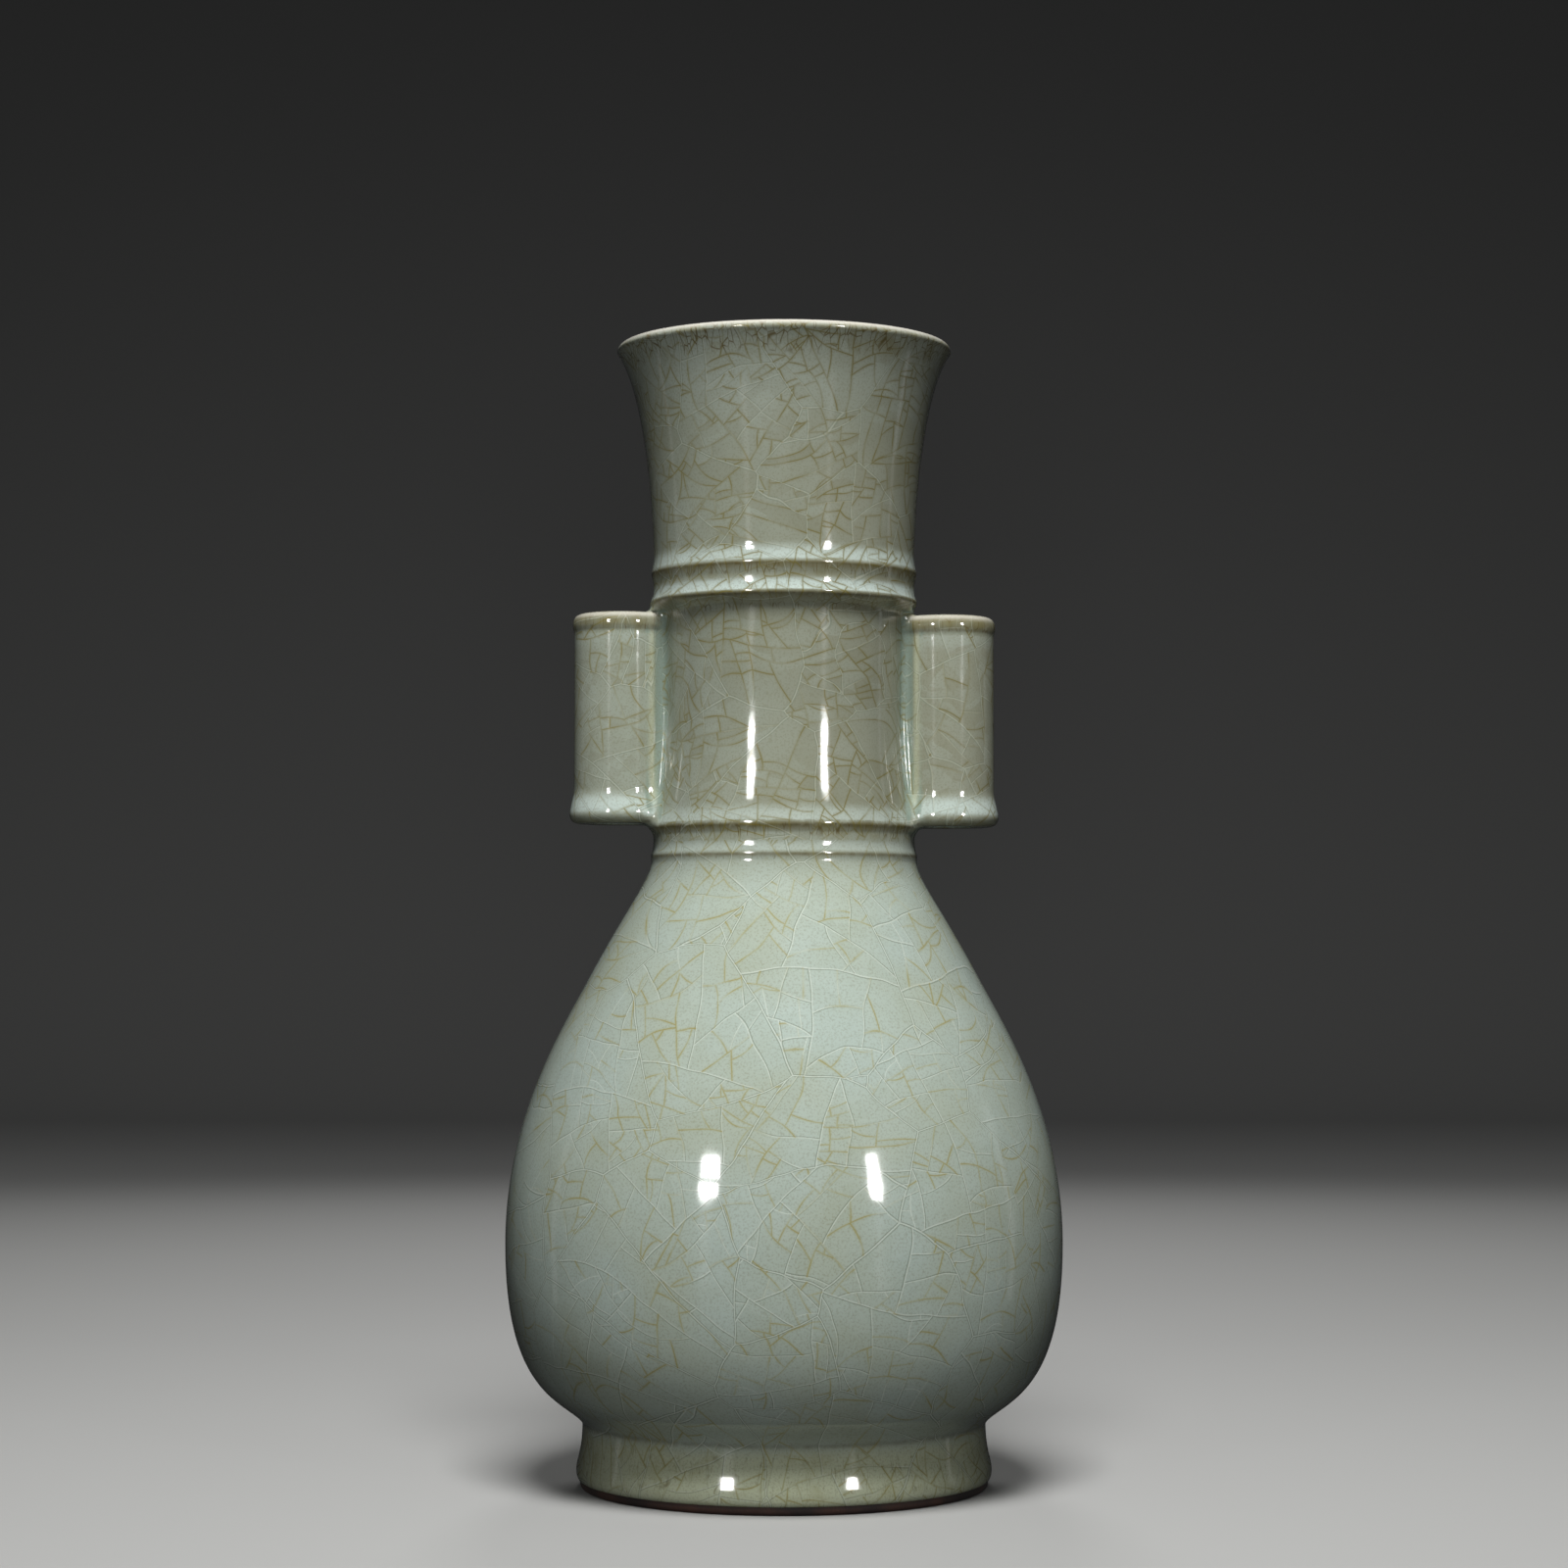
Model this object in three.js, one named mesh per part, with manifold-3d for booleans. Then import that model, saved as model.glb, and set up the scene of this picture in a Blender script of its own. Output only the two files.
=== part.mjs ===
// Celadon vase with two pierced tube handles, in millimetres, +Z up, standing on Z = 0.
// The body is thrown in five sections that are luted together on flat faces, and each handle is a
// pierced tube that sits on the neck in a collar of luting clay.
import * as THREE from "three";
import { mergeVertices } from "three/addons/utils/BufferGeometryUtils.js";
import Module from "manifold-3d";

// Heights of the five thrown sections, stacked from the surface that the vase stands on.
const footHeight = 17.0;
const lowerBodyHeight = 47.0;
const upperBodyHeight = 106.5;
const neckHeight = 66.5;
const mouthHeight = 64.6;

// Foot ring.
const footTopRadius = 53.0;
const footFlareRadius = 54.6;
const footFlareHeight = 5.0;
const footRimOuterRadius = 53.8;
const footRimInnerRadius = 47.6;
const footRecessRadius = 46.4;
const footRimRounding = 1.4;
const footFlarePull = 2.0;
const footWaistPull = 7.5;

// Body, widest at the seam between its two sections.
const bellyRadius = 73.4;
const bodyWall = 5.2;
const floorThickness = 6.0;
const floorRadius = 43.0;
const floorSweep = 12.0;
const lowerBodyFullness = 40.9;
const bowlFullness = 30.0;
const footSweepOut = 4.4;
const footSweepUp = 6.6;
const upperBodyFullness = 32.9;
const shoulderRadius = 52.3;
const shoulderRise = 67.9;
const shoulderSlope = 0.532;
const shoulderSweepBelow = 11.6;
const shoulderSweepAbove = 27.9;
const neckRootSweep = 12.2;

// Neck, a sunk panel between two pairs of turned ribs.
const neckRootRadius = 34.65;
const neckPanelRadius = 31.6;
const neckPanelTopRadius = 32.0;
const neckPanelRise = 35.5;
const neckPanelPull = 17.7;
const neckFlareBend = 9.5;
const neckFlareRadius = 33.9;
const neckWall = 5.0;

// Mouth, a trumpet with a rounded lip.
const mouthRootRadius = 34.65;
const lipRadius = 44.5;
const lipThickness = 3.8;
const trumpetStart = 8.4;
const trumpetBend = 1.8;
const lipFlareIn = 8.7;
const lipFlareDown = 12.3;

// Turned ribs: how proud each crest stands, and how far it runs out above and below.
const rootRibHeight = 4.2;
const rootRibProud = 0.45;
const rootRibRunOut = 2.4;
const neckLowerRibHeight = 3.0;
const neckLowerRibProud = 0.55;
const neckLowerRibAbove = 5.0;
const neckLowerRibBelow = 2.2;
const neckUpperRibDrop = 4.3;
const neckUpperRibRadius = 35.4;
const neckUpperRibAbove = 3.6;
const neckUpperRibBelow = 2.8;
const mouthRibHeight = 3.6;
const mouthRibProud = 0.7;
const mouthRibAbove = 5.2;
const mouthRibBelow = 2.6;

// Pierced handles, upright tubes on either side of the neck.
const handleAxisOffset = 43.0;
const handleRadius = 12.8;
const handleTopLipRadius = 13.1;
const handleBottomLipRadius = 14.0;
const handleHeight = 55.8;
const handleLift = 3.6;
const handleBoreRadius = 6.8;
const handleBoreRounding = 0.5;
const handleLipBand = 4.0;
const handleLipStep = 1.7;
const handleFlareHeight = 10.0;
const handleEdgeRounding = 1.7;
const rightHandleDrop = 0.9;

// Luting clay round each handle's seat.
const filletRadius = 3.1;
const webTopReach = 5.6;
const webTopEndReach = 4.5;
const webTopRise = 5.0;
const webBottomReach = 5.0;
const webBottomEndReach = 4.2;
const webBottomDrop = 4.0;
const seatClearance = 0.3;

// How finely the round forms are faceted.
const turnFacets = 48;
const handleFacets = 28;
const curveSteps = 8;
const ribSteps = 3;
const edgeSteps = 2;
const filletSteps = 4;
const mergeTolerance = 1e-3;

// How far along a short curve each of its pulls lies.
const pullShare = 1 / 3;

const bodyBottom = footHeight;
const bellyLevel = bodyBottom + lowerBodyHeight;
const neckBottom = bellyLevel + upperBodyHeight;
const mouthBottom = neckBottom + neckHeight;
const vaseTop = mouthBottom + mouthHeight;
const handleBottom = neckBottom + handleLift;

const wasm = await Module();
wasm.setup();

const glazeColour = 0xa9b8ab;
const neckGlazeColour = 0x9ba596;
const lutingColour = 0x9dbdb4;

function glazeMaterial(colour) {
  return new THREE.MeshStandardMaterial({ color: colour, roughness: 0.16, metalness: 0 });
}

function point(radius, height) {
  return new THREE.Vector2(radius, height);
}

function bezier(start, startPull, endPull, end, steps = curveSteps) {
  return new THREE.CubicBezierCurve(start, startPull, endPull, end).getPoints(steps);
}

// Joins stretches of an outline end to end, leaving out the points that repeat.
function outline(...stretches) {
  const joined = [];
  for (const next of stretches.flat()) {
    const last = joined[joined.length - 1];
    if (!last || last.distanceTo(next) > mergeTolerance) joined.push(next);
  }
  return joined;
}

// A quarter-turn rounding between two points that lie at either side of a corner.
function rounded(start, corner, end, steps = edgeSteps) {
  return new THREE.QuadraticBezierCurve(start, corner, end).getPoints(steps);
}

// The share of a rib's height that is left at a distance from its crest.
function ribShare(distance, runOut) {
  const share = Math.min(Math.abs(distance) / runOut, 1);
  return (1 + Math.cos(Math.PI * share)) / 2;
}

// Adds a turned rib to an outline that rises with its points, with extra points where it runs out.
function withRib(points, crest, proud, above, below) {
  const heights = new Set();
  for (let step = 0; step <= ribSteps; step += 1) {
    heights.add(crest + (above * step) / ribSteps);
    heights.add(crest - (below * step) / ribSteps);
  }
  const bottom = points[0].y;
  const top = points[points.length - 1].y;
  const inside = [...heights].filter((height) => height > bottom && height < top);
  const kept = points.filter((p) => p === points[0] || p === points[points.length - 1]
    || p.y < crest - below || p.y > crest + above);
  const wanted = [...inside.map((height) => point(radiusAt(points, height), height)), ...kept];
  return wanted
    .sort((a, b) => a.y - b.y)
    .map((p) => point(p.x + proud * ribShare(p.y - crest, p.y > crest ? above : below), p.y));
}

// The radius of a rising outline at a height, taken along its straight stretches.
function radiusAt(points, height) {
  for (let i = 1; i < points.length; i += 1) {
    const [low, high] = [points[i - 1], points[i]];
    if (height <= high.y) {
      const share = (height - low.y) / (high.y - low.y);
      return low.x + (high.x - low.x) * share;
    }
  }
  return points[points.length - 1].x;
}

// The inner face of a wall: the outer outline set inwards square to itself. Its ends stay level.
function inset(points, wall) {
  return points.map((p, i) => {
    const before = points[Math.max(i - 1, 0)];
    const after = points[Math.min(i + 1, points.length - 1)];
    const along = after.clone().sub(before).normalize();
    const isEnd = i === 0 || i === points.length - 1;
    return isEnd ? point(p.x - wall, p.y) : point(p.x - along.y * wall, p.y + along.x * wall);
  });
}

// Turns an outline about the Z axis. It runs up the outside and down the inside, and either starts
// and ends on the axis or is closed on itself here.
function turned(points, facets = turnFacets) {
  const loop = points[0].x > 0 ? [...points, points[0]] : points;
  return solid(new THREE.LatheGeometry(loop, facets).rotateX(Math.PI / 2));
}

// A closed mesh as a solid that can be cut and joined.
function solid(geometry) {
  const plain = geometry.clone();
  plain.deleteAttribute("normal");
  plain.deleteAttribute("uv");
  const merged = mergeVertices(plain, mergeTolerance);
  const triVerts = new Uint32Array(merged.index.array);
  const vertProperties = new Float32Array(merged.attributes.position.array);
  return new wasm.Manifold(new wasm.Mesh({ numProp: 3, vertProperties, triVerts }));
}

function geometryOf(body) {
  const mesh = body.getMesh();
  const geometry = new THREE.BufferGeometry();
  geometry.setAttribute("position", new THREE.BufferAttribute(mesh.vertProperties, 3));
  geometry.setIndex(new THREE.BufferAttribute(mesh.triVerts, 1));
  geometry.computeVertexNormals();
  return geometry;
}

function piece(name, body, colour) {
  const mesh = new THREE.Mesh(geometryOf(body), glazeMaterial(colour));
  mesh.name = name;
  return mesh;
}

// The outer outlines of the five sections, each from its lower joint to its upper joint.
function footOutline() {
  return outline(
    rounded(
      point(footRimOuterRadius - footRimRounding, 0),
      point(footRimOuterRadius, 0),
      point(footRimOuterRadius, footRimRounding),
    ),
    bezier(
      point(footRimOuterRadius, footRimRounding),
      point(footFlareRadius, footFlareHeight - footFlarePull),
      point(footFlareRadius, footFlareHeight),
      point(footFlareRadius, footFlareHeight),
      edgeSteps,
    ),
    bezier(
      point(footFlareRadius, footFlareHeight),
      point(footFlareRadius, footFlareHeight + footFlarePull),
      point(footTopRadius, footHeight - footWaistPull),
      point(footTopRadius, footHeight),
      curveSteps / 2,
    ),
  );
}

function lowerBodyOutline() {
  return bezier(
    point(footTopRadius, bodyBottom),
    point(footTopRadius + footSweepOut, bodyBottom + footSweepUp),
    point(bellyRadius, bellyLevel - lowerBodyFullness),
    point(bellyRadius, bellyLevel),
  );
}

function upperBodyWallLine() {
  const belly = point(bellyRadius, bellyLevel);
  const shoulder = point(shoulderRadius, bellyLevel + shoulderRise);
  const neckRoot = point(neckRootRadius, neckBottom);
  const below = point(
    shoulderRadius + shoulderSlope * shoulderSweepBelow,
    shoulder.y - shoulderSweepBelow,
  );
  const above = point(
    shoulderRadius - shoulderSlope * shoulderSweepAbove,
    shoulder.y + shoulderSweepAbove,
  );
  return outline(
    bezier(belly, point(bellyRadius, bellyLevel + upperBodyFullness), below, shoulder),
    bezier(shoulder, above, point(neckRootRadius, neckBottom - neckRootSweep), neckRoot),
  );
}

function upperBodyOutline() {
  const crest = neckBottom - rootRibHeight;
  return withRib(upperBodyWallLine(), crest, rootRibProud, rootRibRunOut, rootRibRunOut);
}

function neckWallLine() {
  const panelTop = mouthBottom - neckUpperRibDrop - neckUpperRibBelow;
  return outline(
    [point(neckRootRadius, neckBottom)],
    bezier(
      point(neckRootRadius, neckBottom + neckLowerRibHeight),
      point(neckFlareRadius, neckBottom + neckFlareBend),
      point(neckPanelRadius, neckBottom + neckPanelRise - neckPanelPull),
      point(neckPanelRadius, neckBottom + neckPanelRise),
    ),
    [point(neckPanelTopRadius, panelTop)],
  );
}

function neckOutline() {
  const lower = withRib(
    neckWallLine(),
    neckBottom + neckLowerRibHeight,
    neckLowerRibProud,
    neckLowerRibAbove,
    neckLowerRibBelow,
  );
  const panelTop = lower[lower.length - 1];
  const crest = point(neckUpperRibRadius, mouthBottom - neckUpperRibDrop);
  const halfWay = (panelTop.y + crest.y) / 2;
  return outline(
    lower,
    bezier(panelTop, point(panelTop.x, halfWay), point(crest.x, halfWay), crest, ribSteps),
    bezier(
      crest,
      point(crest.x, crest.y + neckUpperRibAbove * pullShare),
      point(mouthRootRadius, mouthBottom - neckUpperRibAbove * pullShare),
      point(mouthRootRadius, mouthBottom),
      ribSteps,
    ),
  );
}

function mouthWallLine() {
  return outline(
    [point(mouthRootRadius, mouthBottom)],
    bezier(
      point(mouthRootRadius, mouthBottom + trumpetStart),
      point(mouthRootRadius, mouthBottom + trumpetStart + trumpetBend),
      point(lipRadius - lipFlareIn, vaseTop - lipThickness / 2 - lipFlareDown),
      point(lipRadius, vaseTop - lipThickness / 2),
    ),
  );
}

function mouthOutline() {
  return withRib(
    mouthWallLine(),
    mouthBottom + mouthRibHeight,
    mouthRibProud,
    mouthRibAbove,
    mouthRibBelow,
  );
}

function footRing() {
  const inner = [point(footRecessRadius, footHeight), point(footRimInnerRadius, 0)];
  return turned(outline(footOutline(), inner));
}

// The lower body is a bowl with the vase's floor.
function lowerBody() {
  const floorLevel = bodyBottom + floorThickness;
  const inner = bezier(
    point(bellyRadius - bodyWall, bellyLevel),
    point(bellyRadius - bodyWall, bellyLevel - bowlFullness),
    point(floorRadius + floorSweep, floorLevel),
    point(floorRadius, floorLevel),
    curveSteps / 2,
  );
  return turned(outline([point(0, bodyBottom)], lowerBodyOutline(), inner, [point(0, floorLevel)]));
}

// Every other point of a line, with its last: enough for a face that is seen less.
function thinned(points) {
  return points.filter((p, i) => i % 2 === 0 || i === points.length - 1);
}

function upperBody() {
  const inner = thinned(inset(upperBodyWallLine(), bodyWall));
  inner[inner.length - 1] = point(neckRootRadius - neckWall, neckBottom);
  return turned(outline(upperBodyOutline(), inner.reverse()));
}

function neckBarrel() {
  const inner = thinned(inset(neckWallLine(), neckWall));
  inner[0] = point(neckRootRadius - neckWall, neckBottom);
  inner.push(point(mouthRootRadius - neckWall, mouthBottom));
  return turned(outline(neckOutline(), inner.reverse()));
}

// The mouth's wall thins towards its rounded lip.
function mouthSection() {
  const wallLine = mouthWallLine();
  const lip = wallLine[wallLine.length - 1];
  const lipCentre = point(lip.x - lipThickness / 2, lip.y);
  const lipArc = [];
  for (let step = 1; step < 2 * edgeSteps; step += 1) {
    const angle = (Math.PI * step) / (2 * edgeSteps);
    lipArc.push(point(
      lipCentre.x + (Math.cos(angle) * lipThickness) / 2,
      lipCentre.y + (Math.sin(angle) * lipThickness) / 2,
    ));
  }
  const inner = thinned(wallLine).map((p) => {
    const share = (p.y - mouthBottom) / (lip.y - mouthBottom);
    return point(p.x - neckWall - (lipThickness - neckWall) * share, p.y);
  });
  return turned(outline(mouthOutline(), lipArc, inner.reverse()));
}

// The outline that the handles and their luting clay sit on.
function seatOutline() {
  return outline(upperBodyOutline(), neckOutline(), mouthOutline());
}

// Everything that the handles and their luting clay must clear, grown by the seat clearance.
function seatCutter() {
  const grown = seatOutline().map((p) => point(p.x + seatClearance, p.y));
  return turned([point(0, grown[0].y), ...grown, point(0, grown[grown.length - 1].y)]);
}

// The handle's outer outline about its own axis, from its lower edge to its upper edge.
function handleOutline(extra = 0) {
  const low = -extra;
  const high = handleHeight + extra;
  const lipStart = high - handleLipBand;
  return outline(
    rounded(
      point(handleBottomLipRadius + extra - handleEdgeRounding, low),
      point(handleBottomLipRadius + extra, low),
      point(handleBottomLipRadius + extra, low + handleEdgeRounding),
    ),
    bezier(
      point(handleBottomLipRadius + extra, low + handleEdgeRounding),
      point(handleBottomLipRadius + extra, low + handleFlareHeight / 2),
      point(handleRadius + extra, low + handleFlareHeight / 2),
      point(handleRadius + extra, low + handleFlareHeight),
      ribSteps,
    ),
    [point(handleRadius + extra, lipStart - handleLipStep)],
    [point(handleTopLipRadius + extra, lipStart)],
    rounded(
      point(handleTopLipRadius + extra, high - handleEdgeRounding),
      point(handleTopLipRadius + extra, high),
      point(handleTopLipRadius + extra - handleEdgeRounding, high),
    ),
  );
}

function handleTube() {
  const bore = [
    point(handleBoreRadius + handleBoreRounding, handleHeight),
    point(handleBoreRadius, handleHeight - handleBoreRounding),
    point(handleBoreRadius, handleBoreRounding),
    point(handleBoreRadius + handleBoreRounding, 0),
  ];
  return turned(outline(handleOutline(), bore), handleFacets);
}

// A handle on the +X side, with its back hollowed to seat on the neck.
function handleAt(bottom) {
  return handleTube().translate([handleAxisOffset, 0, bottom]).subtract(seatCutter());
}

// One front fillet of the luting clay in plan: a concave arc that touches the neck and the handle.
function filletArc(neckRadius, tubeRadius) {
  const toNeck = neckRadius + filletRadius;
  const toTube = tubeRadius + filletRadius;
  const centreX = (handleAxisOffset ** 2 + toNeck ** 2 - toTube ** 2) / (2 * handleAxisOffset);
  const centreY = Math.sqrt(toNeck ** 2 - centreX ** 2);
  const neckAngle = Math.atan2(-centreY, -centreX);
  const tubeAngle = Math.atan2(-centreY, handleAxisOffset - centreX);
  const arc = [];
  for (let step = 0; step <= filletSteps; step += 1) {
    const angle = neckAngle + ((tubeAngle - neckAngle) * step) / filletSteps;
    arc.push(point(
      centreX + filletRadius * Math.cos(angle),
      centreY + filletRadius * Math.sin(angle),
    ));
  }
  return arc;
}

// The luting clay in plan at a height, with one fillet before the handle and one behind it.
function lutingSection(neckRadius, tubeRadius) {
  const arc = filletArc(neckRadius, tubeRadius);
  const inside = point(neckPanelRadius - neckWall, arc[0].y);
  const outside = point(neckPanelRadius + webTopReach, arc[arc.length - 1].y);
  const half = [inside, ...arc, outside];
  return [...half.map((p) => point(p.x, -p.y)), ...half.reverse()];
}

// The solid between level sections that run anticlockwise and have as many points each.
function skinned(sections, heights) {
  const count = sections[0].length;
  const positions = sections.flatMap((section, i) => section.flatMap((p) => [p.x, p.y, heights[i]]));
  const faces = [];
  for (let ring = 0; ring < sections.length - 1; ring += 1) {
    for (let i = 0; i < count; i += 1) {
      const [a, b] = [ring * count + i, ring * count + ((i + 1) % count)];
      faces.push(a, b, b + count, a, b + count, a + count);
    }
  }
  const lid = (section, first) => THREE.ShapeUtils.triangulateShape(section, [])
    .map((corners) => corners.map((corner) => first + corner));
  const lastRing = (sections.length - 1) * count;
  faces.push(...lid(sections[0], 0).flatMap(([a, b, c]) => [a, c, b]));
  faces.push(...lid(sections[sections.length - 1], lastRing).flat());
  const geometry = new THREE.BufferGeometry();
  geometry.setAttribute("position", new THREE.BufferAttribute(new Float32Array(positions), 3));
  geometry.setIndex(faces);
  return solid(geometry);
}

// The luting clay's full depth, from below the handle to above it, before its ends are shaped.
function lutingBlock(bottom) {
  const seat = seatOutline();
  const tube = handleOutline();
  const heights = [
    -webBottomDrop,
    0,
    handleFlareHeight / 2,
    handleFlareHeight,
    handleHeight / 2,
    handleHeight - handleLipBand,
    handleHeight,
    handleHeight + webTopRise,
  ];
  const sections = heights.map((height) => {
    const along = Math.min(Math.max(height, handleEdgeRounding), handleHeight - handleLipBand);
    return lutingSection(radiusAt(seat, bottom + height), radiusAt(tube, along));
  });
  return skinned(sections, heights);
}

// The luting clay seen from the side: it runs down off each end of the handle onto the neck.
function lutingSide() {
  const inner = neckPanelRadius - neckWall;
  const top = handleHeight;
  const topEnd = neckPanelRadius + webTopEndReach;
  const bottomEnd = neckPanelRadius + webBottomEndReach;
  return new THREE.Shape(outline(
    [point(inner, -webBottomDrop)],
    rounded(
      point(bottomEnd, -webBottomDrop),
      point(bottomEnd, -webBottomDrop * pullShare),
      point(neckPanelRadius + webBottomReach, -seatClearance),
    ),
    [point(neckPanelRadius + webTopReach, 0)],
    rounded(
      point(neckPanelRadius + webTopReach, top + seatClearance),
      point(topEnd, top + webTopRise * pullShare),
      point(topEnd, top + webTopRise),
    ),
    [point(inner, top + webTopRise)],
  ));
}

// A shape drawn in X and Z, made a prism that is centred on Y = 0.
function crossPrism(shape, width) {
  const geometry = new THREE.ExtrudeGeometry(shape, { depth: width, bevelEnabled: false });
  return solid(geometry.rotateX(Math.PI / 2)).translate([0, width / 2, 0]);
}

// The space of the handle and its bore, grown by the seat clearance, about the handle's own axis.
function handleCutter() {
  const tube = handleOutline(seatClearance);
  const boreRadius = handleBoreRadius + handleBoreRounding;
  const [low, high] = [-webBottomDrop - seatClearance, handleHeight + webTopRise + seatClearance];
  const bore = [point(0, low), point(boreRadius, low), point(boreRadius, high), point(0, high)];
  const solidTube = [point(0, tube[0].y), ...tube, point(0, tube[tube.length - 1].y)];
  return turned(solidTube, handleFacets).add(turned(bore, handleFacets));
}

// The luting clay of a handle on the +X side, one collar all round the handle's seat.
function lutingAt(bottom) {
  return lutingBlock(bottom)
    .intersect(crossPrism(lutingSide(), 2 * handleAxisOffset))
    .subtract(handleCutter().translate([handleAxisOffset, 0, 0]))
    .translate([0, 0, bottom])
    .subtract(seatCutter());
}

// One side's handle and luting clay, in a group turned to its side of the neck.
function handleGroup(side, bottom, turn) {
  const group = new THREE.Group();
  group.rotation.z = turn;
  group.add(
    piece(`${side}_handle`, handleAt(bottom), glazeColour),
    piece(`${side}_luting_clay`, lutingAt(bottom), lutingColour),
  );
  return group;
}

const vase = new THREE.Group();
vase.add(
  piece("foot_ring", footRing(), glazeColour),
  piece("lower_body", lowerBody(), glazeColour),
  piece("upper_body", upperBody(), glazeColour),
  piece("neck_barrel", neckBarrel(), neckGlazeColour),
  piece("mouth_section", mouthSection(), neckGlazeColour),
  handleGroup("left", handleBottom, Math.PI),
  handleGroup("right", handleBottom - rightHandleDrop, 0),
);

export default vase;
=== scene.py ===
"""Crackled celadon vase with pierced tube handles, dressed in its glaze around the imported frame.

Each thrown section is turned from the outline of its solid. The neck and its handles share one
skin, because the glaze runs unbroken over the luting clay that joins them.
"""

from __future__ import annotations

import logging
import math
from contextlib import contextmanager
from dataclasses import dataclass
from enum import Enum
from functools import cached_property, partial
from typing import Any, Callable, ClassVar, Iterator, Sequence

import bpy
import numpy as np
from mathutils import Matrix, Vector


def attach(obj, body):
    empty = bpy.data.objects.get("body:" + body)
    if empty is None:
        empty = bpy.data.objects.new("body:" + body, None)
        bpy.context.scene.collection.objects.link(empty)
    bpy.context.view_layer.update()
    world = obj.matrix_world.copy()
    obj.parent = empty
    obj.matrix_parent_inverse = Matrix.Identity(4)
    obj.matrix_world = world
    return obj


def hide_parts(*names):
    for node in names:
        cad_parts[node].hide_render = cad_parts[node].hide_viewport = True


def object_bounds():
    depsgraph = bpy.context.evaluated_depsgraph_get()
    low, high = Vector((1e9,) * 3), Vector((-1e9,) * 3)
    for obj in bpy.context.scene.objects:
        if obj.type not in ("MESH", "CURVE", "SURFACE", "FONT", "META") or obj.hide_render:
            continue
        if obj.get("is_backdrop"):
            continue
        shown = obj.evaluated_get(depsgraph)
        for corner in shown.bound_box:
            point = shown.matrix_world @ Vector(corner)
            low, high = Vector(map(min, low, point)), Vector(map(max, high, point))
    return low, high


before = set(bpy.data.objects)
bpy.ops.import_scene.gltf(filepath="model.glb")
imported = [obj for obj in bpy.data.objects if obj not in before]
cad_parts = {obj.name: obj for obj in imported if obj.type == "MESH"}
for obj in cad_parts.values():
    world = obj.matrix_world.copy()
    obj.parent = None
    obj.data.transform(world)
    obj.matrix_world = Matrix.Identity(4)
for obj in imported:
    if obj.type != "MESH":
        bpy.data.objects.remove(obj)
CAD_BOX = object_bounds()

LOG = logging.getLogger("celadon_vase")
MM = 0.001
BODY = "root"
# Points nearer to each other than this, in mm, are one point.
WELD = 0.002
# Edges sharper than this, in degrees, stay sharp.
SHARP_ANGLE = 40


class Slot(Enum):
    """The record's material slots."""

    FOOT = "foot_glaze"
    BODY = "body_glaze"
    NECK = "neck_glaze"


def bezier(corners: Sequence[tuple[float, float]], steps: int = 60) -> np.ndarray:
    """Samples a cubic curve.

    Args:
        corners: The curve's start, its two pulls and its end, as (radius, height).
        steps: How many stretches the curve is cut into.

    Returns:
        The points along the curve, one row each.
    """
    start, pull_a, pull_b, end = (np.array(corner, float) for corner in corners)
    t = np.linspace(0.0, 1.0, steps + 1)[:, None]
    return (
        (1 - t) ** 3 * start
        + 3 * t * (1 - t) ** 2 * pull_a
        + 3 * t**2 * (1 - t) * pull_b
        + t**3 * end
    )


def smooth_union(a: np.ndarray, b: np.ndarray, reach: np.ndarray | float) -> np.ndarray:
    """Joins two signed distances with a fillet.

    Args:
        a: Distances to the first form, in mm.
        b: Distances to the second form, in mm.
        reach: How far from the joint the fillet begins, in mm.

    Returns:
        The signed distances to the joined form.
    """
    share = np.maximum(reach - np.abs(a - b), 0.0) / reach
    return np.minimum(a, b) - share**2 * reach / 4


def smooth_cut(a: np.ndarray, b: np.ndarray, reach: float) -> np.ndarray:
    """Keeps what lies in both forms, with the edge between them rounded.

    Args:
        a: Distances to the first form, in mm.
        b: Distances to the second form, in mm.
        reach: How far from the edge the rounding begins, in mm.

    Returns:
        The signed distances to the common form.
    """
    return -smooth_union(-a, -b, reach)


def ramp(value: np.ndarray, low: float, high: float) -> np.ndarray:
    """Eases from 0 at low to 1 at high."""
    share = np.clip((value - low) / (high - low), 0.0, 1.0)
    return share * share * (3 - 2 * share)


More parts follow.
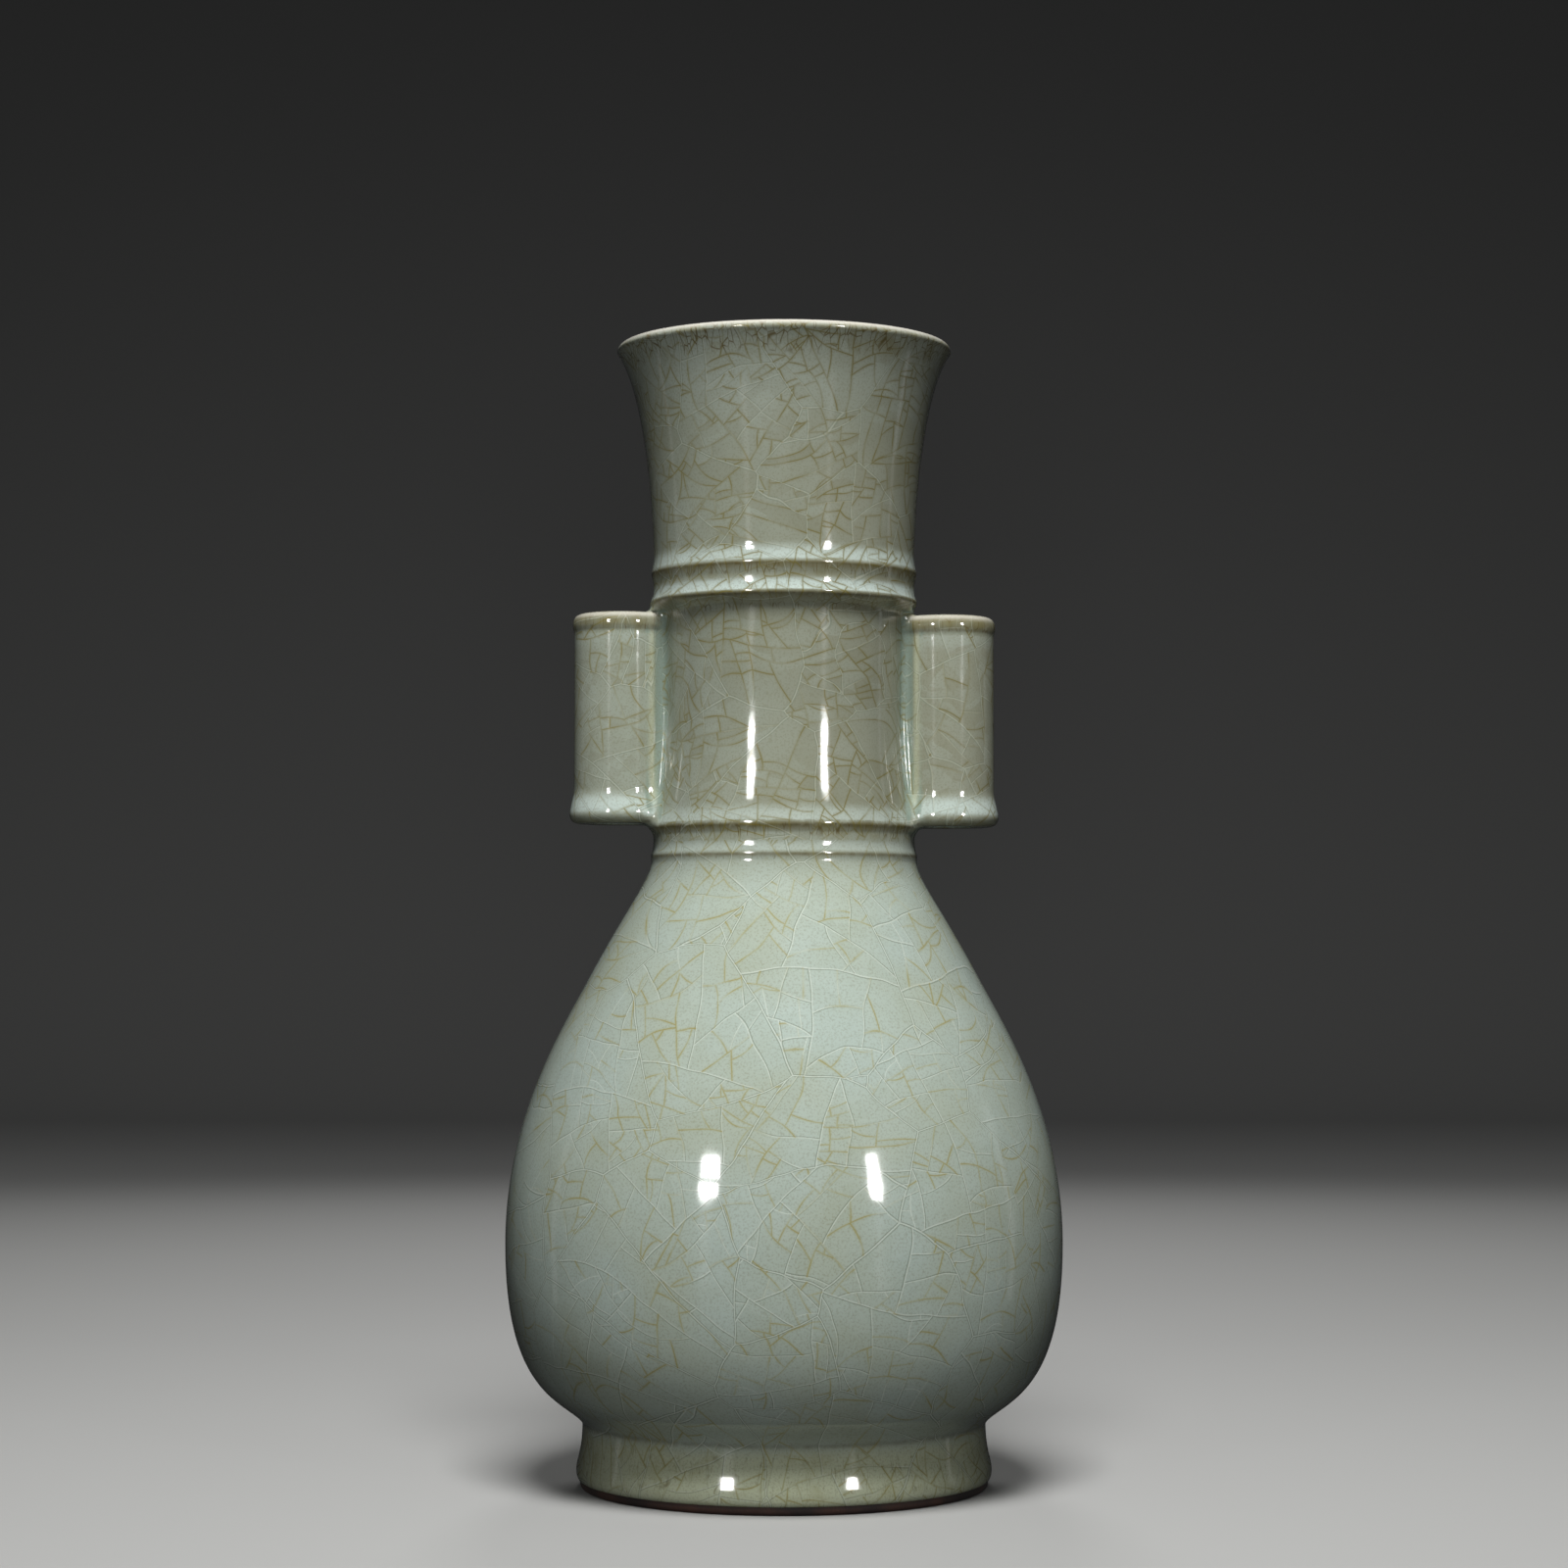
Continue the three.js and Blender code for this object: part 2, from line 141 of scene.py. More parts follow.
@dataclass(frozen=True)
class Rib:
    """A turned rib: a hollow slope above its crest, a steep one below, and the glaze it guides.

    The glaze has run thin for some way below the crest, which shows as a brown band that is partly
    the thin glaze's stain and partly painted shade, the shadow that the crest casts; above the
    crest it has pooled on the slope. The crest's height, how far it stands proud, the slopes above
    and below it and the run of thin glaze and painted shade are in mm, and the pool and the stain
    are shares of 1.
    """

    crest: float
    proud: float
    above: float
    below: float
    run: float
    pool: float
    stain: float = 1.0

    def swell(self, height: np.ndarray) -> np.ndarray:
        """Gives the rib's share of the radius at each height.

        Args:
            height: Heights on the vase, in mm.

        Returns:
            How far the rib stands out there, in mm.
        """
        up = np.clip((height - self.crest) / self.above, 0.0, 1.0)
        down = np.clip((self.crest - height) / self.below, 0.0, 1.0)
        return self.proud * np.where(height >= self.crest, (1 - up) ** 2, 1 - down)

    def thin_glaze_and_shade(self, height: np.ndarray) -> np.ndarray:
        """Gives how far the glaze has run off just under the crest, fading downwards, with the
        crest's cast shadow painted in as shade.
        """
        under = self.crest - height
        return self.stain * ramp(under, -0.35, 0.25) * (1 - ramp(under, 0.5, self.run))

    def crest_line(self, height: np.ndarray) -> np.ndarray:
        """Gives the thin dark line where the glaze breaks at the crest."""
        return self.stain * np.exp(-(((height - self.crest + 0.35) / 0.38) ** 2))

    def thick_glaze(self, height: np.ndarray) -> np.ndarray:
        """Gives how much glaze has stayed on the slope above the crest."""
        over = height - self.crest
        return self.pool * ramp(over, 0.0, 0.9) * (1 - ramp(over, 2.2, self.above + 1.2))


@dataclass(frozen=True)
class VaseOutline:
    """The vase's outer and inner outlines in mm, from the same sizes as its solids."""

    glaze_line: float = 2.3
    foot_top: float = 17.0
    belly: float = 64.0
    neck_joint: float = 169.2
    neck_root: float = 170.5
    mouth_root: float = 237.0
    rim: float = 301.6
    foot_top_radius: float = 53.0
    foot_flare_radius: float = 54.6
    foot_edge_radius: float = 53.95
    rim_inner_radius: float = 47.6
    recess_radius: float = 46.4
    belly_radius: float = 73.4
    shoulder_radius: float = 52.3
    shoulder: float = 131.9
    neck_radius: float = 34.65
    panel_radius: float = 31.6
    panel_top_radius: float = 32.0
    lip_radius: float = 44.5
    lip_thickness: float = 3.8
    body_wall: float = 5.2
    neck_wall: float = 5.0
    floor_thickness: float = 6.0
    floor_radius: float = 43.0
    sample: float = 0.1
    softening: float = 0.3

    @cached_property
    def ribs(self) -> tuple[Rib, ...]:
        """The four turned ribs, from the mouth down."""
        # Crest, proud, above, below, run, pool and stain.
        return (
            Rib(self.mouth_root + 3.5, 0.68, 5.2, 3.0, 2.8, 0.7, 0.8),
            Rib(self.mouth_root - 4.3, 0.75, 3.6, 2.6, 4.2, 0.95, 0.7),
            Rib(self.neck_root + 2.7, 0.72, 6.0, 2.3, 3.0, 0.5, 0.8),
            Rib(self.neck_root - 4.8, 0.45, 3.0, 1.9, 1.7, 0.4, 0.55),
        )

    @cached_property
    def wall_line(self) -> np.ndarray:
        """The outer outline without its ribs, from the glaze line up to the lip."""
        # The pulls of the curves were fitted to the outline in the photograph.
        slope, pull_down, pull_up = 0.532, 11.6, 27.9
        shoulder_foot = (self.shoulder_radius + slope * pull_down, self.shoulder - pull_down)
        shoulder_head = (self.shoulder_radius - slope * pull_up, self.shoulder + pull_up)
        panel_top = self.mouth_root - 7.2
        flare = self.foot_flare_radius
        lip_head = (self.lip_radius - 8.7, self.lip_level - 12.3)
        stretches = (
            bezier(((self.foot_edge_radius, self.glaze_line), (flare, 3.0), (flare, 4.2),
                    (flare, 5.0))),
            bezier(((flare, 5.0), (flare, 7.0), (self.foot_top_radius, 9.5),
                    (self.foot_top_radius, self.foot_top))),
            bezier(((self.foot_top_radius, self.foot_top),
                    (self.foot_top_radius + 4.4, self.foot_top + 6.6),
                    (self.belly_radius, self.belly - 40.9), (self.belly_radius, self.belly))),
            bezier(((self.belly_radius, self.belly), (self.belly_radius, self.belly + 32.9),
                    shoulder_foot, (self.shoulder_radius, self.shoulder))),
            bezier(((self.shoulder_radius, self.shoulder), shoulder_head,
                    (self.neck_radius, self.neck_root - 12.2), (self.neck_radius, self.neck_root))),
            bezier(((self.neck_radius - 0.1, self.neck_root + 3.0), (33.9, self.neck_root + 9.5),
                    (self.panel_radius, self.neck_root + 17.7),
                    (self.panel_radius, self.neck_root + 35.5))),
            np.array([(self.panel_top_radius, panel_top), (self.neck_radius, panel_top + 2.7),
                      (self.neck_radius, self.mouth_root + 8.4)]),
            bezier(((self.neck_radius, self.mouth_root + 8.4),
                    (self.neck_radius, self.mouth_root + 10.2), lip_head,
                    (self.lip_radius, self.lip_level))),
        )
        return np.vstack(stretches)

    @property
    def lip_level(self) -> float:
        """The height at which the lip's rounding starts."""
        return self.rim - self.lip_thickness / 2

    @cached_property
    def table(self) -> tuple[np.ndarray, np.ndarray, np.ndarray]:
        """Heights with the outer radius and its slope there, ribs and glaze softening included."""
        heights = np.arange(self.glaze_line, self.lip_level + self.sample / 2, self.sample)
        radii = np.interp(heights, self.wall_line[:, 1], self.wall_line[:, 0])
        for rib in self.ribs:
            radii = radii + rib.swell(heights)
        spread = int(4 * self.softening / self.sample)
        kernel = np.exp(-0.5 * (np.arange(-spread, spread + 1) * self.sample / self.softening) ** 2)
        padded = np.pad(radii, spread, mode="reflect", reflect_type="odd")
        radii = np.convolve(padded, kernel / kernel.sum(), "valid")
        return heights, radii, np.gradient(radii, heights)

    def radius(self, height: np.ndarray) -> np.ndarray:
        """Gives the outer radius at each height."""
        heights, radii, _ = self.table
        return np.interp(height, heights, radii)

    def slope(self, height: np.ndarray) -> np.ndarray:
        """Gives how fast the outer radius grows with height."""
        heights, _, slopes = self.table
        return np.interp(height, heights, slopes)

    @cached_property
    def inner_line(self) -> np.ndarray:
        """The inner outline, from the middle of the floor up to the lip."""
        floor = self.foot_top + self.floor_thickness
        bowl = bezier(((self.floor_radius, floor), (self.floor_radius + 12.0, floor),
                       (self.belly_radius - self.body_wall, self.belly - 30.0),
                       (self.belly_radius - self.body_wall, self.belly)))
        step, spread = 2.0, 6
        heights = np.arange(self.belly + step, self.lip_level, step)
        wall = np.interp(heights, (self.belly, self.neck_root, self.mouth_root, self.lip_level),
                         (self.body_wall, self.neck_wall, self.neck_wall, self.lip_thickness))
        line = np.interp(heights, self.wall_line[:, 1], self.wall_line[:, 0])
        padded = np.pad(line, spread, mode="reflect", reflect_type="odd")
        count = 2 * spread + 1
        line = np.convolve(padded, np.full(count, 1 / count), "valid")
        lean = np.gradient(line, heights)
        sheath = np.column_stack((line - wall * np.sqrt(1 + np.minimum(lean**2, 0.6)), heights))
        end = np.array([(self.lip_radius - self.lip_thickness, self.lip_level)])
        return np.vstack(([(0.0, floor)], bowl, sheath, end))

    def inner_radius(self, height: np.ndarray) -> np.ndarray:
        """Gives the inner radius at each height above the floor."""
        line = self.inner_line[1:]
        return np.interp(height, line[:, 1], line[:, 0])

    def inner_slope(self, height: np.ndarray) -> np.ndarray:
        """Gives how fast the inner radius grows with height."""
        return self.inner_radius(height + 0.5) - self.inner_radius(height - 0.5)

    def levels(self, low: float, high: float, widest: float = 3.0) -> np.ndarray:
        """Picks heights that follow the outline closely where it curves.

        Args:
            low: The lowest height, in mm.
            high: The highest height, in mm.
            widest: The widest step between two heights, in mm.

        Returns:
            The heights, from low to high.
        """
        step, finest, tightest = 0.25, 2.6, 0.01
        fine = np.linspace(low, high, int((high - low) / step) + 2)
        bend = np.abs(np.gradient(np.arctan(self.slope(fine)), fine))
        density = np.maximum(1.0 / widest, np.minimum(np.sqrt(bend / tightest), finest))
        between = (density[1:] + density[:-1]) / 2
        walked = np.concatenate(([0.0], np.cumsum(between * np.diff(fine))))
        count = int(math.ceil(walked[-1]))
        return np.interp(np.linspace(0.0, walked[-1], count + 1), walked, fine)


@dataclass(frozen=True)
class HandleForm:
    """One pierced handle: an upright tube with a lip at its top and a flare at its foot, in mm."""

    side: int
    bottom: float
    clay_reach: float
    upper_reach: float = 5.4
    axis_offset: float = 43.0
    radius: float = 12.8
    lip_radius: float = 13.15
    flare_radius: float = 14.0
    height: float = 55.8
    bore: float = 6.8
    edge_rounding: float = 3.0
    bore_rounding: float = 2.0
    arris_turn: float = 0.70
    arris_spread: float = 0.085
    arris_proud: float = 0.3

    @property
    def top(self) -> float:
        """The height of the handle's upper edge."""
        return self.bottom + self.height

    def from_axis(self, points: np.ndarray) -> np.ndarray:
        """Gives each point's distance from the handle's axis."""
        return np.hypot(points[:, 0] - self.side * self.axis_offset, points[:, 1])

    def tube_radius(self, height: np.ndarray) -> np.ndarray:
        """Gives the tube's outer radius at each height."""
        above_foot = height - self.bottom
        flare = (self.flare_radius - self.radius) * (1 - ramp(above_foot, 1.5, 9.5))
        lip = (self.lip_radius - self.radius) * ramp(self.top - height, 5.2, 3.4)
        return self.radius + flare + lip

    def arris(self, points: np.ndarray) -> np.ndarray:
        """Gives 1 along the two arrises where the luting clay starts, and 0 away from them."""
        towards_neck = self.side * (self.side * self.axis_offset - points[:, 0])
        turn = np.arctan2(towards_neck, np.abs(points[:, 1]))
        return np.exp(-(((turn - self.arris_turn) / self.arris_spread) ** 2))

    def distance(self, points: np.ndarray) -> np.ndarray:
        """Gives signed distances to the tube without its bore."""
        side = self.from_axis(points) - self.tube_radius(points[:, 2])
        side = side - self.arris_proud * self.arris(points)
        middle = self.bottom + self.height / 2
        end = np.abs(points[:, 2] - middle) - self.height / 2
        return smooth_cut(side, end, self.edge_rounding)

    def fillet_reach(self, height: np.ndarray) -> np.ndarray:
        """Gives the reach of the luting clay's fillet, which grows at the handle's upper end."""
        upper = ramp(height, self.top - 3.0, self.top + 2.0)
        return self.clay_reach + (self.upper_reach - self.clay_reach) * upper


@dataclass(frozen=True)
class NeckForm:
    """The neck with its handles as signed distances: what a finger would feel of the glaze."""

    outline: VaseOutline
    handles: tuple[HandleForm, HandleForm]

    def vase(self, points: np.ndarray) -> np.ndarray:
        """Gives signed distances to the vase's outer face alone."""
        radius = np.hypot(points[:, 0], points[:, 1])
        slope = self.outline.slope(points[:, 2])
        return (radius - self.outline.radius(points[:, 2])) / np.sqrt(1 + slope**2)

    def skin(self, points: np.ndarray) -> np.ndarray:
        """Gives signed distances to the vase's outer face with its handles and their fillets."""
        distance = self.vase(points)
        for handle in self.handles:
            reach = handle.fillet_reach(points[:, 2])
            distance = smooth_union(distance, handle.distance(points), reach)
        return distance

    def wall(self, points: np.ndarray) -> np.ndarray:
        """Gives signed distances to the whole wall, with the neck's inside and the bores open."""
        distance = self.skin(points)
        for handle in self.handles:
            bore = handle.bore - handle.from_axis(points)
            distance = smooth_cut(distance, bore, handle.bore_rounding)
        radius = np.hypot(points[:, 0], points[:, 1])
        return np.maximum(distance, self.outline.inner_radius(points[:, 2]) - radius)

    def slope_of(self, form: Callable[[np.ndarray], np.ndarray], points: np.ndarray) -> np.ndarray:
        """Gives the gradient of a form's distances.

        Args:
            form: One of this class's distances.
            points: Points in mm, one row each.

        Returns:
            One vector for each point.
        """
        step = 0.04
        columns = []
        for axis in np.eye(3) * step:
            columns.append((form(points + axis) - form(points - axis)) / (2 * step))
        return np.column_stack(columns)

    def settle(self, points: np.ndarray, level: np.ndarray, rounds: int = 4) -> np.ndarray:
        """Moves points onto the wall's face.

        Args:
            points: Points near the face, in mm.
            level: True for the points that keep their height.
            rounds: How many steps are taken.

        Returns:
            The points on the face.
        """
        for _ in range(rounds):
            slope = self.slope_of(self.wall, points)
            slope[level, 2] = 0.0
            size = np.maximum((slope**2).sum(1), 0.2)
            move = np.clip(self.wall(points) / size, -2.0, 2.0)
            points = points - slope * move[:, None]
        return points

    def near_handle(self, points: np.ndarray) -> np.ndarray:
        """Gives each point's distance to the nearer handle."""
        return np.minimum(*(handle.distance(points) for handle in self.handles))

    def bend(self, points: np.ndarray, reach: float = 1.3) -> np.ndarray:
        """Gives how the face curves: above 0 on edges, below 0 in hollows."""
        middle = self.skin(points)
        bend = np.zeros(len(points))
        for axis in np.eye(3) * reach:
            bend += (self.skin(points + axis) + self.skin(points - axis) - 2 * middle) / reach**2
        return bend


@dataclass(frozen=True)
class GlazeMap:
    """Where the fired glaze lies thick, thin, bare or stained, and where shade and highlights are
    painted, one number for each point.

    The points are in mm, and each ramp starts and ends at heights or distances in mm.
    """

    NAMES: ClassVar[tuple[str, ...]] = (
        "glaze_depth_and_rib_shade", "hollow", "warm_glaze_and_foot_light", "neck_tone", "pale_edge_and_highlight", "iron_and_shade_line", "fringe", "tooled")

    form: NeckForm
    points: np.ndarray

    @cached_property
    def height(self) -> np.ndarray:
        """Each point's height."""
        return self.points[:, 2]

    @cached_property
    def tubes(self) -> tuple[tuple[HandleForm, np.ndarray], ...]:
        """Each handle with every point's distance to it."""
        return tuple((handle, handle.distance(self.points)) for handle in self.form.handles)

    @cached_property
    def near(self) -> np.ndarray:
        """Each point's distance to the nearer handle."""
        return np.minimum(*(distance for _, distance in self.tubes))

    @cached_property
    def bend(self) -> np.ndarray:
        """How the face curves at each point: above 0 on edges, below 0 in hollows."""
        return self.form.bend(self.points)

    def marks(self) -> dict[str, np.ndarray]:
        """Gives every number that the glaze reads.

        Returns:
            The numbers for each point, by the name of their attribute.
        """
        values = (self.depth(), self.hollow(), self.warm_glaze_and_foot_light(), self.tone(), self.pale_edge_and_highlight(),
                  self.iron_and_shade_line(), self.fringe(), self.tooled())
        return dict(zip(self.NAMES, values))

    def depth(self) -> np.ndarray:
        """Gives where the glaze has pooled (above 0), and below 0 where it has run thin, painted
        shade under each rib's crest included.
        """
        on_vase = ramp(self.near, 0.8, 3.0)
        depth = 0.3 * ramp(self.height, 258.0, 290.0) - 0.7 * ramp(self.bend, 0.14, 0.6)
        # Under each crest the thin glaze also stands for painted shade, the shadow that the crest
        # casts.
        for rib in self.form.outline.ribs:
            depth = depth + on_vase * (rib.thick_glaze(self.height) - rib.thin_glaze_and_shade(self.height))
        for handle, distance in self.tubes:
            on_tube = ramp(distance, 1.2, 0.3)
            lifted = self.height - handle.bottom
            depth = depth + on_tube * 0.75 * ramp(lifted, 0.8, 2.5) * (1 - ramp(lifted, 5.0, 10.0))
            from_top = handle.top - self.height
            depth = depth - on_tube * 0.5 * ramp(from_top, 5.0, 3.6)
            under_lip = ramp(from_top, 4.6, 6.0) * (1 - ramp(from_top, 7.0, 12.0))
            depth = depth + on_tube * 0.3 * under_lip
        return np.clip(depth, -1.0, 1.0)

    def hollow(self) -> np.ndarray:
        """Gives the blue-green in the fillets beside the handles, partly pooled glaze and partly
        painted shade in the crease between handle and neck.
        """
        return 0.9 * (1 - ramp(self.near, 2.0, 3.5)) * ramp(-self.bend, 0.03, 0.2)

    def warm_glaze_and_foot_light(self) -> np.ndarray:
        """Gives the thin warm glaze on the foot and on each handle's arrises; on the foot it is
        laid on strong and pale, partly as painted light.
        """
        # On the foot the warm glaze is partly painted light, which lifts the foot out of the
        # belly's shadow.
        share = 0.75 * (1 - ramp(self.height, 13.0, 17.5))
        for handle, distance in self.tubes:
            upright = ramp(self.height, handle.bottom + 3.0, handle.bottom + 8.0)
            upright = upright * ramp(handle.top - self.height, 4.5, 6.5)
            beside = ramp(distance, 1.0, 0.4) * handle.arris(self.points)
            share = np.maximum(share, 0.5 * beside * upright)
        return share

    def tone(self) -> np.ndarray:
        """Gives 0 on the blue-green body and 1 on the greyer neck and mouth."""
        foot = 0.35 * (1 - ramp(self.height, 14.0, 22.0))
        warm_side = 0.72 + 0.28 * ramp(self.points[:, 0], -34.0, 22.0)
        return np.maximum(foot, ramp(self.height, 152.0, 178.0) * warm_side)

    def pale_edge_and_highlight(self) -> np.ndarray:
        """Gives the pale line along the lip and along each handle's upper edge, which is partly
        thin glaze and partly a painted highlight.
        """
        rim = self.form.outline.rim
        # The lip's pale edge is partly thin glaze and partly a painted highlight.
        share = 0.8 * ramp(self.height, rim - 1.7, rim - 0.4)
        for handle, distance in self.tubes:
            edge = np.exp(-(((self.height - handle.top + 0.7) / 0.75) ** 2))
            share = np.maximum(share, 0.6 * edge * ramp(distance, 0.6, 0.3))
        return share

    def iron_and_shade_line(self) -> np.ndarray:
        """Gives the thin brown lines at the crests and at the handles' upper ends, painted shade in
        the crease where the foot meets the body, and a line at each handle's foot that is partly
        its brown edge and partly painted shade under its rounded end.
        """
        on_vase = ramp(self.near, 0.5, 2.0)
        line = np.zeros(len(self.points))
        for rib in self.form.outline.ribs:
            line = np.maximum(line, on_vase * rib.crest_line(self.height))
        for handle, distance in self.tubes:
            on_tube = ramp(distance, 0.8, 0.3)
            # The line at each handle's foot is partly its brown edge and partly painted shade under
            # its rounded end.
            ends = ((handle.top - 4.7, 0.45, 0.35), (handle.bottom + 0.4, 0.7, 0.45))
            for level, strength, width in ends:
                edge = np.exp(-(((self.height - level) / width) ** 2))
                line = np.maximum(line, on_tube * strength * edge)
        # Painted shade in the crease where the foot meets the body.
        crease_shade = np.exp(-(((self.height - self.form.outline.foot_top) / 0.7) ** 2))
        return np.maximum(line, 0.45 * crease_shade)

    def fringe(self) -> np.ndarray:
        """Gives where short upright cracks crowd: under the ribs, at the lip and on the foot."""
        outline = self.form.outline
        on_vase = ramp(self.near, 0.5, 2.0)
        share = np.zeros(len(self.points))
        for rib in outline.ribs:
            under = rib.crest - self.height
            share = np.maximum(share, on_vase * rib.stain * ramp(under, -0.6, 0.3)
                               * (1 - ramp(under, 0.6 * rib.run, 1.9 * rib.run)))
        share = np.maximum(share, 0.9 * ramp(self.height, outline.rim - 13.0, outline.rim - 4.0))
        on_foot = 1 - ramp(self.height, outline.foot_top - 3.0, outline.foot_top)
        share = np.maximum(share, 0.5 * on_foot)
        for handle, distance in self.tubes:
            at_top = 1 - ramp(handle.top - self.height, 4.0, 6.5)
            share = np.maximum(share, 0.7 * ramp(distance, 0.8, 0.3) * at_top)
        return share

    def tooled(self) -> np.ndarray:
        """Gives where a tool has left upright grooves in the luting clay, most on the right."""
        strength = 0.6 + 0.4 * ramp(self.points[:, 0], -10.0, 10.0)
        return strength * ramp(self.near, 0.1, 0.6) * (1 - ramp(self.near, 4.5, 7.5))


class Bench:
    """The few steps of modelling by hand that every piece shares."""

    @staticmethod
    def clear() -> None:
        """Leaves object mode with nothing selected."""
        if bpy.context.object and bpy.context.object.mode != "OBJECT":
            bpy.ops.object.mode_set(mode="OBJECT")
        bpy.ops.object.select_all(action="DESELECT")

    @staticmethod
    def take(piece: bpy.types.Object) -> None:
        """Selects one piece alone and makes it active."""
        Bench.clear()
        piece.select_set(True)
        bpy.context.view_layer.objects.active = piece

    @staticmethod
    @contextmanager
    def editing(piece: bpy.types.Object) -> Iterator[None]:
        """Opens a piece in edit mode with its whole mesh selected, and closes it again."""
        Bench.take(piece)
        bpy.ops.object.mode_set(mode="EDIT")
        bpy.ops.mesh.select_all(action="SELECT")
        yield
        bpy.ops.object.mode_set(mode="OBJECT")

    @staticmethod
    def turn(name: str, loop: np.ndarray, steps: int, axis_at: float = 0.0) -> bpy.types.Object:
        """Turns a closed outline about an upright axis.

        Args:
            name: The new piece's name.
            loop: The outline's points as (radius, height) in mm, in order round the loop.
            steps: How many facets the turned piece has.
            axis_at: Where the axis stands along X, in mm.

        Returns:
            The turned piece, closed and with its faces outwards.
        """
        Bench.clear()
        bpy.ops.mesh.primitive_circle_add(vertices=len(loop), radius=MM)
        piece = bpy.context.object
        piece.name = name
        piece.data.name = name
        places = np.column_stack((loop[:, 0] + axis_at, np.zeros(len(loop)), loop[:, 1])) * MM
        piece.data.vertices.foreach_set("co", places.ravel())
        with Bench.editing(piece):
            centre = (axis_at * MM, 0.0, 0.0)
            bpy.ops.mesh.spin(steps=steps, angle=2 * math.pi, center=centre, axis=(0.0, 0.0, 1.0))
            bpy.ops.mesh.select_all(action="SELECT")
            bpy.ops.mesh.remove_doubles(threshold=WELD * MM)
            bpy.ops.mesh.delete_loose(use_verts=True, use_edges=True, use_faces=False)
            bpy.ops.mesh.select_all(action="SELECT")
            bpy.ops.mesh.normals_make_consistent(inside=False)
        return piece

    @staticmethod
    def points_of(piece: bpy.types.Object) -> np.ndarray:
        """Reads a piece's vertices in mm, one row each."""
        places = np.empty(len(piece.data.vertices) * 3)
        piece.data.vertices.foreach_get("co", places)
        return places.reshape(-1, 3) / MM

    @staticmethod
    def place_points(piece: bpy.types.Object, points: np.ndarray) -> None:
        """Writes a piece's vertices from points in mm."""
        piece.data.vertices.foreach_set("co", (points * MM).ravel())
        piece.data.update()

    @staticmethod
    def remesh(piece: bpy.types.Object, voxel: float) -> None:
        """Rebuilds a piece's mesh in even cells of a size in mm, which also joins what overlaps."""
        Bench.take(piece)
        modifier = piece.modifiers.new("even_cells", "REMESH")
        modifier.mode = "VOXEL"
        modifier.voxel_size = voxel * MM
        modifier.use_smooth_shade = True
        bpy.ops.object.modifier_apply(modifier=modifier.name)

    @staticmethod
    def smooth(piece: bpy.types.Object, normals: np.ndarray | None = None) -> None:
        """Shades a piece smooth, with given normals where a row of them isn't zero.

        Args:
            piece: The finished piece.
            normals: One vector for each vertex, or None for Blender's own.
        """
        Bench.take(piece)
        if normals is None:
            bpy.ops.object.shade_smooth_by_angle(angle=math.radians(SHARP_ANGLE))
            return
        bpy.ops.object.shade_smooth()
        piece.data.normals_split_custom_set_from_vertices([tuple(row) for row in normals])

    @staticmethod
    def mark(piece: bpy.types.Object, marks: dict[str, np.ndarray], shown: np.ndarray) -> None:
        """Keeps numbers for each vertex of a piece under the names that its glaze reads.

        Args:
            piece: The finished piece.
            marks: One number for each vertex, by name.
            shown: True for the vertices of the outer face. The others are kept at 0.
        """
        for name, values in marks.items():
            attribute = piece.data.attributes.new(name, "FLOAT", "POINT")
            attribute.data.foreach_set("value", np.where(shown, values, 0.0).astype(np.float32))


def linear(hex_colour: str) -> tuple[float, float, float, float]:
    """Turns an sRGB colour such as "#aabbcc" to linear light with full alpha.

    Args:
        hex_colour: The colour as six hex digits after a mark.

    Returns:
        Red, green, blue and alpha.
    """
    channels = []
    for start in (1, 3, 5):
        value = int(hex_colour[start:start + 2], 16) / 255
        channels.append(value / 12.92 if value <= 0.04045 else ((value + 0.055) / 1.055) ** 2.4)
    return (channels[0], channels[1], channels[2], 1.0)


def add_node(material: bpy.types.Material, kind: str, inputs: Any = (), output: Any = 0,
             **settings: Any) -> Any:
    """Adds a shader node with its settings and links.

    Args:
        material: The material that the node goes into.
        kind: The node's type without its "ShaderNode".
        inputs: Values or feeding outputs, in the sockets' order or by a socket's name or place.
        output: The name or place of the output that is wanted.
        **settings: The node's own properties.

    Returns:
        The wanted output, or None where the node has none.
    """
    node = material.node_tree.nodes.new("ShaderNode" + kind)
    for name, value in settings.items():
        setattr(node, name, value)
    for place, value in inputs.items() if isinstance(inputs, dict) else enumerate(inputs):
        if isinstance(value, bpy.types.NodeSocket):
            material.node_tree.links.new(value, node.inputs[place])
        else:
            node.inputs[place].default_value = value
    return node.outputs[output] if node.outputs else None


def new_material(name: str) -> bpy.types.Material:
    """Makes an empty material that uses nodes."""
    material = bpy.data.materials.new(name)
    material.use_nodes = True
    material.node_tree.nodes.clear()
    return material


@dataclass(frozen=True)
class CrackLevel:
    """One generation of cracks that split the cells of the one before.

    The half cell is a share of the first cells' size, and the width is in mm. The rest are shares
    of 1: the cells that split on the body, what the neck adds to it, what the handles take off it,
    and the score above which iron has stained a crack. A shaded crack has a darker side.
    """

    half_cell: float
    width: float
    share: float
    neck_more: float
    handle_less: float
    stain_from: float
    shaded: bool = True


